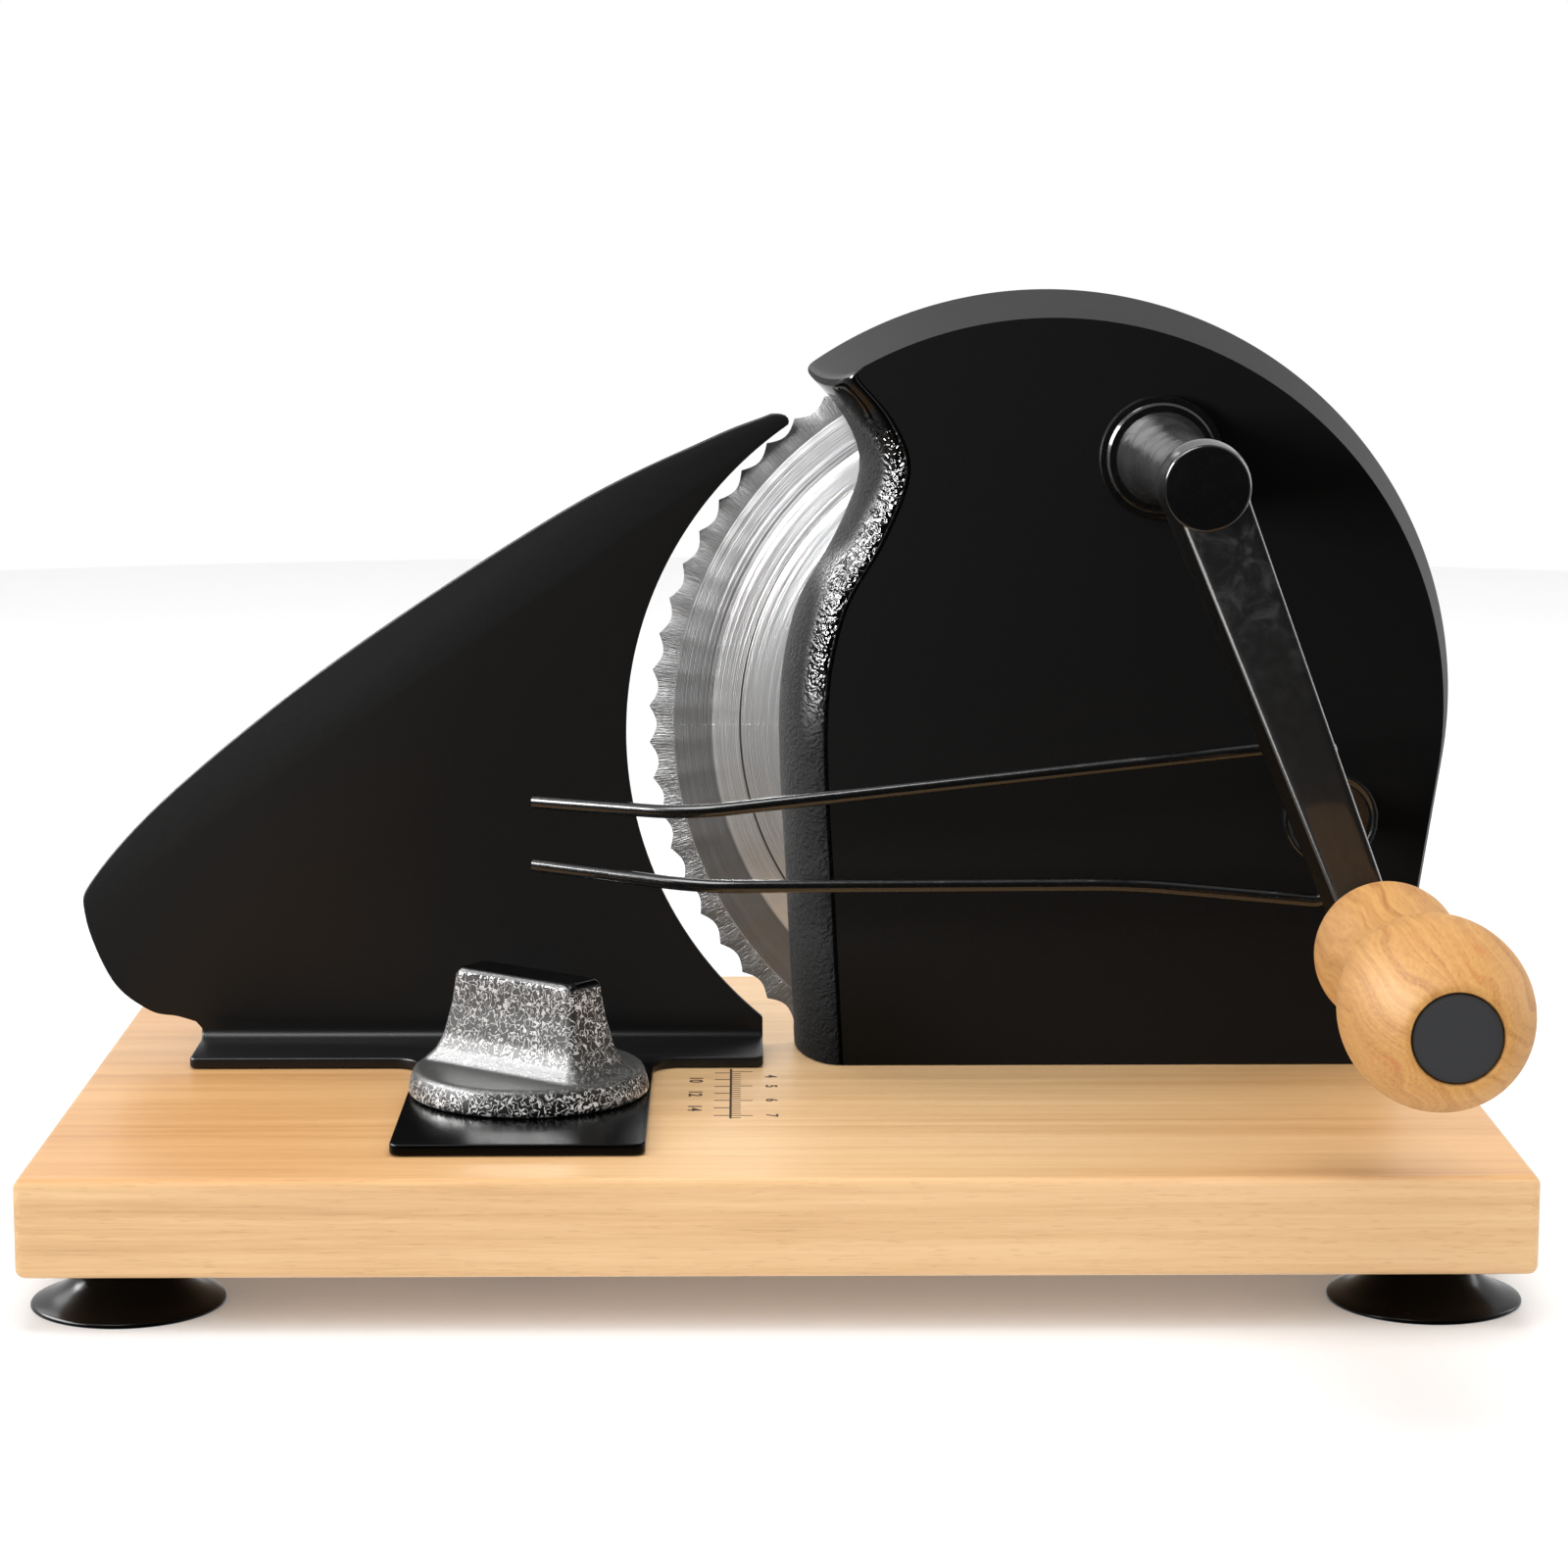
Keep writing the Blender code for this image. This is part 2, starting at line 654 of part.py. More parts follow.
def make_cups(frame, rubber, steel):
    top = UNDERSIDE - SEAT_GAP
    bottom = UNDERSIDE - CUP_HEIGHT
    web = top - CUP_WEB
    bore = CUP_SCREW_RADIUS + SEAT_GAP
    flare = CUP_RADIUS - CUP_NECK_RADIUS
    fall = top - bottom
    profile = (
        (bore, top),
        (CUP_NECK_RADIUS, top),
        (CUP_NECK_RADIUS + 0.08 * flare, top - 0.32 * fall),
        (CUP_NECK_RADIUS + 0.36 * flare, top - 0.64 * fall),
        (CUP_RADIUS, top - 0.92 * fall),
        (CUP_RADIUS, bottom),
        (CUP_RADIUS - CUP_LIP, bottom),
        (CUP_RADIUS - 0.50 * flare, bottom + 0.20 * fall),
        (CUP_SCREW_HEAD + CUP_LIP, web),
        (bore, web),
    )
    seat = web - SEAT_GAP
    for name, (x, y) in cup_places().items():
        finish(f"suction_cup_{name}", lathe(profile, "Z", CUP_ROUND, closed=True), rubber, frame, (x, y, 0))
        screw = lathe(
            (
                (0, seat - CUP_SCREW_HEAD_HEIGHT),
                (CUP_SCREW_HEAD * 0.7, seat - CUP_SCREW_HEAD_HEIGHT),
                (CUP_SCREW_HEAD, seat - CUP_SCREW_HEAD_HEIGHT / 3),
                (CUP_SCREW_HEAD, seat),
                (CUP_SCREW_RADIUS, seat),
                (CUP_SCREW_RADIUS, UNDERSIDE + CUP_SCREW_BITE - 2 * CUP_SCREW_RADIUS),
                (0, UNDERSIDE + CUP_SCREW_BITE),
            ),
            "Z",
            SCREW_ROUND,
        )
        finish(f"suction_cup_screw_{name}", screw, steel, frame, (x, y, 0))


def merge(group, extra):
    """Add one bmesh to another."""
    mesh = bpy.data.meshes.new("scratch")
    extra.to_mesh(mesh)
    extra.free()
    group.from_mesh(mesh)
    bpy.data.meshes.remove(mesh)
    return group


def make_case(frame, enamel, steel):
    bm = bmesh.new()
    floor = SEAT_GAP + CASE_WALL
    shares = (0, 0.2, 0.4, 0.6, 0.8, 1)
    inner_shares = (1, 0.66, 0.33, 0)
    outer = [case_loop(bm, share, 0.0, SEAT_GAP, CASE_DEPTH) for share in shares]
    inner = [case_loop(bm, share, CASE_WALL, floor, CASE_DEPTH - CASE_FACE) for share in inner_shares]
    bm.faces.new(outer[-1])
    bm.faces.new(inner[0])
    loft(bm, outer)
    loft(bm, inner)
    loft(bm, (inner[-1], outer[0]))
    case = finish("case", bm, enamel, frame)
    axis = (CRANK_X, 0, CRANK_Z)
    inside = CASE_FRONT + CASE_FACE / 2
    boss = cylinder(CRANK_BOSS_RADIUS, inside, BOSS_END)
    boolean(case, finish("tool_crank_boss", boss, enamel, frame, axis), "UNION")
    boss = cylinder(AXLE_BOSS_RADIUS, inside, BOSS_END)
    axle = (BLADE_AXIS_X, 0, BLADE_AXIS_Z)
    boolean(case, finish("tool_axle_boss", boss, enamel, frame, axle), "UNION")
    boss = cylinder(GUARD_POST_RADIUS, inside, CASE_INSIDE + CASE_BOSS_HEIGHT / 2, sides=SMALL_ROUND)
    pivot = (GUARD_X, 0, GUARD_Z)
    boolean(case, finish("tool_guard_boss", boss, enamel, frame, pivot), "UNION")
    for number, (x, y) in enumerate(case_screw_places()):
        foot = cylinder(CASE_BOSS_RADIUS, floor - CASE_WALL / 2, CASE_BOSS_HEIGHT, "Z", SMALL_ROUND)
        boolean(case, finish(f"tool_foot_boss_{number}", foot, enamel, frame, (x, y, 0)), "UNION")
    bore = cylinder(BUSH_RADIUS + SEAT_GAP, CASE_FRONT - CUT_PAST, BOSS_END + CUT_PAST)
    boolean(case, finish("tool_crank_bore", bore, enamel, frame, axis))
    root = BOSS_END - AXLE_ROOT_DEPTH - SEAT_GAP
    bore = cylinder(AXLE_ROOT_RADIUS + SEAT_GAP, root, BOSS_END + CUT_PAST)
    boolean(case, finish("tool_axle_bore", bore, enamel, frame, axle))
    deep = CASE_INSIDE + CASE_BOSS_HEIGHT
    bore = cylinder(GUARD_SCREW_RADIUS + SEAT_GAP, CASE_FRONT - CUT_PAST, deep, sides=SMALL_ROUND)
    boolean(case, finish("tool_guard_bore", bore, enamel, frame, pivot))
    screw_top = CASE_BOSS_HEIGHT - CASE_WALL
    for number, (x, y) in enumerate(case_screw_places()):
        bore = cylinder(CASE_SCREW_RADIUS + SEAT_GAP, -CUT_PAST, screw_top + SEAT_GAP, "Z", SMALL_ROUND)
        boolean(case, finish(f"tool_foot_bore_{number}", bore, enamel, frame, (x, y, 0)))
        head = UNDERSIDE + BOARD_THICKNESS / 2 - SEAT_GAP
        screw = lathe(
            (
                (0, head - CASE_SCREW_HEAD_HEIGHT),
                (CASE_SCREW_HEAD * 0.75, head - CASE_SCREW_HEAD_HEIGHT),
                (CASE_SCREW_HEAD, head - CASE_SCREW_HEAD_HEIGHT / 2),
                (CASE_SCREW_HEAD, head),
                (CASE_SCREW_RADIUS, head),
                (CASE_SCREW_RADIUS, screw_top),
                (0, screw_top),
            ),
            "Z",
            SCREW_ROUND,
        )
        finish(f"case_screw_{number + 1}", screw, steel, frame, (x, y, 0))
    way_front = BLADE_FRONT - BLADE_GAP
    way = cylinder(BLADE_RADIUS + BLADE_RIM_GAP, way_front, CASE_REAR + CUT_PAST, sides=LARGE_ROUND)
    boolean(case, finish("tool_blade_way", way, enamel, frame, axle))


def make_blade_bearing(frame, steel):
    """The fixed axle in the case's boss, with its washers and dome nut."""
    axle = (BLADE_AXIS_X, 0, BLADE_AXIS_Z)
    front = BOSS_END - AXLE_ROOT_DEPTH
    spigot_end = BLADE_REAR + BLADE_THICKNESS / 2
    washer = spigot_end + SEAT_GAP
    nut = washer + WASHER_THICKNESS + SEAT_GAP
    end = nut + NUT_HEIGHT / 2
    steps = (
        (0, front),
        (AXLE_ROOT_RADIUS, front),
        (AXLE_ROOT_RADIUS, BOSS_END),
        (AXLE_RADIUS, BOSS_END),
        (AXLE_RADIUS, end),
        (0, end),
    )
    finish("blade_axle", lathe(steps), steel, frame, axle)
    # A ring with fewer sides than its pin is wider, so that its flats stay clear
    bore = AXLE_RADIUS + 2 * RUNNING_GAP
    low = BOSS_END + SEAT_GAP
    thrust = ring(WASHER_RADIUS, bore, low, low + WASHER_THICKNESS, sides=SMALL_ROUND)
    finish("thrust_washer", thrust, steel, frame, axle)
    outer = ring(WASHER_RADIUS, bore, washer, washer + WASHER_THICKNESS, sides=SMALL_ROUND)
    finish("nut_washer", outer, steel, frame, axle)
    body = finish("axle_nut", prism(hexagon(NUT_RADIUS), nut, nut + NUT_HEIGHT), steel, frame, axle)
    crown = nut + NUT_HEIGHT
    dome = lathe(
        (
            (0, nut + NUT_HEIGHT / 2),
            (NUT_RADIUS * 0.80, nut + NUT_HEIGHT / 2),
            (NUT_RADIUS * 0.80, crown + NUT_HEIGHT * 0.15),
            (NUT_RADIUS * 0.58, crown + NUT_HEIGHT * 0.50),
            (0, crown + NUT_HEIGHT * 0.72),
        ),
        sides=SMALL_ROUND,
    )
    boolean(body, finish("tool_nut_dome", dome, steel, frame, axle), "UNION")
    blind = cylinder(bore, nut - CUT_PAST, end + SEAT_GAP, sides=SMALL_ROUND)
    boolean(body, finish("tool_nut_bore", blind, steel, frame, axle))


def make_blade(axis, stainless, steel, brass):
    """The scalloped disc, the wheel that drives it and the hub that carries both."""
    bm = bmesh.new()
    rims = {"rear": [], "edge": [], "land": []}
    total = SCALLOP_COUNT * SCALLOP_POINTS
    for step in range(total):
        angle = math.tau * step / total
        share = (step % SCALLOP_POINTS) / SCALLOP_POINTS
        radius = BLADE_RADIUS - SCALLOP_DEPTH * math.sin(math.pi * share)
        land = BLADE_RADIUS - BLADE_BEVEL
        turn = (math.cos(angle), math.sin(angle))
        rims["rear"].append(bm.verts.new((radius * turn[0], BLADE_REAR, radius * turn[1])))
        rims["edge"].append(bm.verts.new((radius * turn[0], BLADE_REAR - BLADE_EDGE, radius * turn[1])))
        rims["land"].append(bm.verts.new((land * turn[0], BLADE_FRONT, land * turn[1])))
    loft(bm, list(rims.values()))
    bm.faces.new(rims["rear"])
    bm.faces.new(rims["land"])
    blade = finish("blade", bm, stainless, axis, sharp=20)
    spigot = HUB_SPIGOT_RADIUS + SEAT_GAP
    bore = cylinder(spigot, BLADE_FRONT - CUT_PAST, BLADE_REAR + CUT_PAST)
    boolean(blade, finish("tool_blade_bore", bore, steel, axis))

    wheel_hole = HUB_SLEEVE_RADIUS + SEAT_GAP
    outline = gear_outline(WHEEL_TEETH, math.radians(CRANK_BEARING))
    wheel = finish("blade_gear", prism(outline, WHEEL_FRONT, WHEEL_REAR), brass, axis, sharp=20)
    bore = cylinder(wheel_hole, WHEEL_FRONT - CUT_PAST, WHEEL_REAR + CUT_PAST)
    boolean(wheel, finish("tool_wheel_bore", bore, steel, axis))
    for number, (x, z) in enumerate(polar_places(LIGHTENING_HOLES, LIGHTENING_CIRCLE)):
        low = WHEEL_FRONT - CUT_PAST
        window = cylinder(LIGHTENING_RADIUS, low, WHEEL_REAR + CUT_PAST, sides=SMALL_ROUND)
        boolean(wheel, finish(f"tool_window_{number}", window, steel, axis, (x, 0, z)))

    bore = AXLE_RADIUS + RUNNING_GAP
    spigot_end = BLADE_REAR + BLADE_THICKNESS / 2
    flange_front = HUB_REAR - HUB_FLANGE
    steps = (
        (bore, WHEEL_FRONT + SEAT_GAP),
        (HUB_SLEEVE_RADIUS, WHEEL_FRONT + SEAT_GAP),
        (HUB_SLEEVE_RADIUS, flange_front),
        (HUB_FLANGE_RADIUS, flange_front),
        (HUB_FLANGE_RADIUS, HUB_REAR),
        (HUB_SPIGOT_RADIUS, HUB_REAR),
        (HUB_SPIGOT_RADIUS, spigot_end),
        (bore, spigot_end),
    )
    hub = finish("blade_hub", lathe(steps, closed=True), steel, axis)

    head_front = BLADE_REAR + SEAT_GAP
    screw_end = WHEEL_FRONT + WHEEL_WIDTH / 4
    for number, (x, z) in enumerate(polar_places(3, BLADE_SCREW_CIRCLE, start=30)):
        hole = BLADE_SCREW_RADIUS + SEAT_GAP
        drill = finish(
            f"tool_blade_screw_{number}",
            cylinder(hole, screw_end - SEAT_GAP, BLADE_REAR + CUT_PAST, sides=SMALL_ROUND),
            steel,
            axis,
            (x, 0, z),
        )
        for piece in (blade, wheel, hub):
            boolean(piece, drill)
        screw = lathe(
            (
                (0, screw_end),
                (BLADE_SCREW_RADIUS, screw_end),
                (BLADE_SCREW_RADIUS, head_front),
                (BLADE_SCREW_HEAD, head_front),
                (BLADE_SCREW_HEAD, head_front + BLADE_SCREW_HEAD_HEIGHT * 0.4),
                (BLADE_SCREW_HEAD * 0.6, head_front + BLADE_SCREW_HEAD_HEIGHT * 0.85),
                (0, head_front + BLADE_SCREW_HEAD_HEIGHT),
            ),
            sides=SCREW_ROUND,
        )
        finish(f"blade_screw_{number + 1}", screw, steel, axis, (x, 0, z))


def make_crank(frame, axis, enamel, steel, brass):
    """The bearing bush in the case, and the shaft, pinion and arm that turn in it."""
    bore = SHAFT_RADIUS + RUNNING_GAP
    flange_front = CASE_FRONT - SEAT_GAP - BUSH_FLANGE
    flange_rear = CASE_FRONT - SEAT_GAP
    steps = (
        (bore, BUSH_FRONT),
        (BUSH_STEP_RADIUS, BUSH_FRONT),
        (BUSH_STEP_RADIUS, flange_front),
        (BUSH_FLANGE_RADIUS, flange_front),
        (BUSH_FLANGE_RADIUS, flange_rear),
        (BUSH_RADIUS, flange_rear),
        (BUSH_RADIUS, BOSS_END),
        (bore, BOSS_END),
    )
    finish("crank_bush", lathe(steps, closed=True), enamel, frame, (CRANK_X, 0, CRANK_Z))
    gap = PINION_FRONT - BOSS_END
    spacer = ring(BUSH_RADIUS, bore, BOSS_END + SEAT_GAP, BOSS_END + gap - SEAT_GAP)
    finish("pinion_washer", spacer, steel, axis)
    outline = gear_outline(PINION_TEETH, math.radians(CRANK_BEARING) + math.pi + math.pi / PINION_TEETH)
    pinion = finish("pinion", prism(outline, PINION_FRONT, PINION_REAR), brass, axis, sharp=20)
    hole = cylinder(SHAFT_RADIUS + SEAT_GAP, PINION_FRONT - CUT_PAST, PINION_REAR + CUT_PAST)
    boolean(pinion, finish("tool_pinion_bore", hole, steel, axis))
    clip = PINION_REAR + SEAT_GAP
    clip_ring = ring(BUSH_RADIUS, SHAFT_RADIUS + SEAT_GAP, clip, clip + CLIP_THICKNESS)
    finish("shaft_clip", clip_ring, steel, axis)
    shaft_front = ARM_FRONT + SEAT_GAP
    shaft = cylinder(SHAFT_RADIUS, shaft_front, clip + SHAFT_END)
    finish("crank_shaft", shaft, steel, axis)

    down = math.radians(CRANK_REST - 90)
    along = Vector((math.cos(down), math.sin(down)))
    across = Vector((-along.y, along.x))
    top_half = ARM_TOP_WIDTH / 2
    end_half = ARM_END_WIDTH / 2
    reach = CRANK_RADIUS - ARM_END_RADIUS * 1.3
    heading = math.degrees(down)
    lean = math.degrees(math.asin(min(1.0, end_half / ARM_END_RADIUS)))
    outline = [tuple(along * reach + across * end_half)]
    end_centre = along * CRANK_RADIUS
    end_round = arc(end_centre, ARM_END_RADIUS, heading + 180 - lean, heading - 180 + lean, 18)
    outline += end_round
    outline.append(tuple(along * reach - across * end_half))
    shoulder = math.degrees(math.acos(min(1.0, top_half / NECK_FRONT_RADIUS)))
    outline += arc((0, 0), NECK_FRONT_RADIUS, heading - 90 + shoulder, heading - 270 - shoulder, 20)
    arm = finish("crank_arm", prism(outline, ARM_FRONT, ARM_REAR), enamel, axis)
    bevel(arm, ARM_EDGE, 2)
    length = NECK_REAR - ARM_REAR
    neck = lathe(
        (
            (0, ARM_FRONT + ARM_THICKNESS / 2),
            (NECK_FRONT_RADIUS - ARM_EDGE, ARM_FRONT + ARM_THICKNESS / 2),
            (NECK_FRONT_RADIUS - ARM_EDGE, ARM_REAR),
            (NECK_WAIST_RADIUS, ARM_REAR + 0.22 * length),
            (NECK_WAIST_RADIUS, ARM_REAR + 0.50 * length),
            (NECK_WAIST_RADIUS * 0.55 + NECK_REAR_RADIUS * 0.45, ARM_REAR + 0.80 * length),
            (NECK_REAR_RADIUS, NECK_REAR - ARM_EDGE),
            (NECK_REAR_RADIUS - ARM_EDGE, NECK_REAR),
            (0, NECK_REAR),
        )
    )
    boolean(arm, finish("tool_neck", neck, enamel, axis), "UNION")
    hole = cylinder(SHAFT_RADIUS + SEAT_GAP, ARM_FRONT - CUT_PAST, NECK_REAR + CUT_PAST)
    boolean(arm, finish("tool_neck_bore", hole, enamel, axis))
    bore = SPINDLE_RADIUS + SEAT_GAP
    hole = cylinder(bore, ARM_FRONT - CUT_PAST, ARM_REAR + CUT_PAST, sides=SMALL_ROUND)
    spindle_place = (end_centre.x, 0, end_centre.y)
    boolean(arm, finish("tool_spindle_bore", hole, enamel, axis, spindle_place))
    cap_rear = ARM_FRONT - SEAT_GAP
    cap_front = cap_rear - CAP_THICKNESS
    cap = lathe(
        (
            (0, cap_front),
            (CAP_RADIUS - CAP_THICKNESS / 3, cap_front),
            (CAP_RADIUS, cap_front + CAP_THICKNESS / 3),
            (CAP_RADIUS, cap_rear),
            (0, cap_rear),
        )
    )
    finish("crank_cap", cap, enamel, axis)
    head = HANDLE_FRONT + HANDLE_RECESS - SEAT_GAP
    rear = ARM_REAR + SEAT_GAP
    spindle = lathe(
        (
            (0, head - SPINDLE_HEAD_HEIGHT),
            (SPINDLE_HEAD, head - SPINDLE_HEAD_HEIGHT),
            (SPINDLE_HEAD, head),
            (SPINDLE_RADIUS, head),
            (SPINDLE_RADIUS, rear),
            (SPINDLE_HEAD, rear),
            (SPINDLE_HEAD, rear + SPINDLE_RIVET_HEIGHT * 0.4),
            (SPINDLE_HEAD * 0.6, rear + SPINDLE_RIVET_HEIGHT),
            (0, rear + SPINDLE_RIVET_HEIGHT),
        ),
        sides=SMALL_ROUND,
    )
    finish("handle_spindle", spindle, steel, axis, spindle_place)


def make_handle(axis, wood, cap_material):
    """The turned wooden grip, which spins on the crank's spindle."""
    bore = SPINDLE_RADIUS + RUNNING_GAP
    recess = HANDLE_CAP_RADIUS + SEAT_GAP
    cap_seat = HANDLE_FRONT + HANDLE_CAP_THICKNESS
    profile = [(bore, HANDLE_REAR), (HANDLE_END_RADIUS, HANDLE_REAR)]
    for share, radius in HANDLE_PROFILE:
        profile.append((radius, HANDLE_REAR - share * HANDLE_LENGTH))
    head_bore = SPINDLE_HEAD + RUNNING_GAP
    profile += [
        (HANDLE_END_RADIUS, HANDLE_FRONT),
        (recess, HANDLE_FRONT),
        (recess, cap_seat),
        (head_bore, cap_seat),
        (head_bore, HANDLE_FRONT + HANDLE_RECESS),
        (bore, HANDLE_FRONT + HANDLE_RECESS),
    ]
    finish("handle_grip", lathe(profile, sides=HANDLE_ROUND, closed=True), wood, axis)
    rim = HANDLE_CAP_THICKNESS / 4
    cap = lathe(
        (
            (0, HANDLE_FRONT),
            (HANDLE_CAP_RADIUS - rim, HANDLE_FRONT),
            (HANDLE_CAP_RADIUS, HANDLE_FRONT + rim),
            (HANDLE_CAP_RADIUS, cap_seat - SEAT_GAP),
            (0, cap_seat - SEAT_GAP),
        )
    )
    finish("handle_cap", cap, cap_material, axis)


def plate_outline():
    """The upright sheet in X and Z: the outer edge, the foot's width at the bend, and the blade's arc."""
    edge = [tuple(point) for point in smooth_curve(PLATE_EDGE_POINTS, 3)]
    outline = edge + [(FOOT_LEFT, BEND_TOP), (FOOT_RIGHT, BEND_TOP)]
    start = 180 + math.degrees(math.acos(min(1.0, (PLATE_ARC_X - FOOT_RIGHT) / PLATE_ARC_RADIUS)))
    top_height = PLATE_EDGE_POINTS[0][1] - 2 * PLATE_TIP - PLATE_ARC_Z
    end = 180 - math.degrees(math.asin(min(1.0, top_height / PLATE_ARC_RADIUS)))
    blade_side = arc((PLATE_ARC_X, PLATE_ARC_Z), PLATE_ARC_RADIUS, start, end, 24)
    tip = Vector(blade_side[-1]).lerp(Vector(edge[0]), 0.5) + Vector((PLATE_TIP, PLATE_TIP * 0.6))
    return outline + blade_side + [tuple(tip)]


def make_fence(axis, black, steel):
    """The bent stop plate, with the clamp that holds it and the pin that keeps it square to the blade."""
    left = KNOB_X - TONGUE_WIDTH / 2
    right = KNOB_X + TONGUE_WIDTH / 2
    outline = rounded(
        (
            (FOOT_LEFT, BEND_FRONT, 0),
            (FOOT_LEFT, FOOT_FRONT, FOOT_CORNER),
            (left, FOOT_FRONT, TONGUE_FILLET),
            (left, TONGUE_FRONT, TONGUE_CORNER),
            (right, TONGUE_FRONT, TONGUE_CORNER),
            (right, FOOT_FRONT, TONGUE_FILLET),
            (FOOT_RIGHT, FOOT_FRONT, FOOT_CORNER),
            (FOOT_RIGHT, BEND_FRONT, 0),
        ),
        5,
    )
    bm = prism(outline, SEAT_GAP, FOOT_TOP, "Z")
    rear = [
        face for face in bm.faces if face.normal.y > 0.9 and face.calc_center_median().y > BEND_FRONT - 1e-5
    ]
    swept = bmesh.ops.spin(
        bm,
        geom=rear,
        cent=(0, BEND_FRONT, BEND_TOP),
        axis=(1, 0, 0),
        angle=math.pi / 2,
        steps=5,
        use_duplicate=False,
    )
    ends = [part for part in swept["geom_last"] if isinstance(part, bmesh.types.BMFace)]
    bmesh.ops.delete(bm, geom=rear + ends, context="FACES_ONLY")
    sheet = prism(plate_outline(), PLATE_FRONT, PLATE_REAR)
    sheet.normal_update()
    open_faces = [
        face for face in sheet.faces if face.normal.z < -0.9 and face.calc_center_median().z < BEND_TOP + 1e-6
    ]
    bmesh.ops.delete(sheet, geom=open_faces, context="FACES_ONLY")
    bm = merge(bm, sheet)
    bmesh.ops.remove_doubles(bm, verts=bm.verts, dist=1e-6)
    plate = finish("stop_plate", bm, black, axis, (0, 0, 0))
    bevel(plate, PLATE_EDGE, 1)
    for name, y in (("tool_stud_hole", KNOB_Y), ("tool_pin_hole", GUIDE_PIN_Y)):
        hole = cylinder(STUD_RADIUS + SEAT_GAP, -CUT_PAST, FOOT_TOP + CUT_PAST, "Z", SMALL_ROUND)
        boolean(plate, finish(name, hole, steel, axis, (KNOB_X, y, 0)))

    head_top = CLAMP_LEDGE - 2 * SEAT_GAP - CLAMP_PLATE_THICKNESS
    stud_top = KNOB_BOTTOM + INSERT_DEPTH - INSERT_END - 2 * SEAT_GAP
    stud = lathe(
        (
            (0, head_top - STUD_HEAD),
            (STUD_HEAD_RADIUS, head_top - STUD_HEAD),
            (STUD_HEAD_RADIUS, head_top),
            (STUD_RADIUS, head_top),
            (STUD_RADIUS, stud_top),
            (0, stud_top),
        ),
        "Z",
        SMALL_ROUND,
    )
    finish("clamp_stud", stud, steel, axis, (KNOB_X, KNOB_Y, 0))
    half_width = CLAMP_PLATE_WIDTH / 2
    half_length = CLAMP_PLATE_LENGTH / 2
    low = (KNOB_X - half_width, KNOB_Y - half_length, CLAMP_LEDGE - SEAT_GAP - CLAMP_PLATE_THICKNESS)
    high = (KNOB_X + half_width, KNOB_Y + half_length, CLAMP_LEDGE - SEAT_GAP)
    clamp = finish("clamp_plate", block(low, high), steel, axis)
    bore = cylinder(STUD_RADIUS + SEAT_GAP, low[2] - CUT_PAST, high[2] + CUT_PAST, "Z", SMALL_ROUND)
    boolean(clamp, finish("tool_clamp_hole", bore, steel, axis, (KNOB_X, KNOB_Y, 0)))
    head = FOOT_TOP + SEAT_GAP
    pin = lathe(
        (
            (0, -GUIDE_PIN_DEPTH),
            (STUD_RADIUS - SEAT_GAP, -GUIDE_PIN_DEPTH),
            (STUD_RADIUS, -GUIDE_PIN_DEPTH + SEAT_GAP),
            (STUD_RADIUS, head),
            (GUIDE_PIN_HEAD, head),
            (GUIDE_PIN_HEAD * 0.8, head + GUIDE_PIN_HEAD_HEIGHT * 0.6),
            (0, head + GUIDE_PIN_HEAD_HEIGHT),
        ),
        "Z",
        SMALL_ROUND,
    )
    finish("guide_pin", pin, steel, axis, (KNOB_X, GUIDE_PIN_Y, 0))


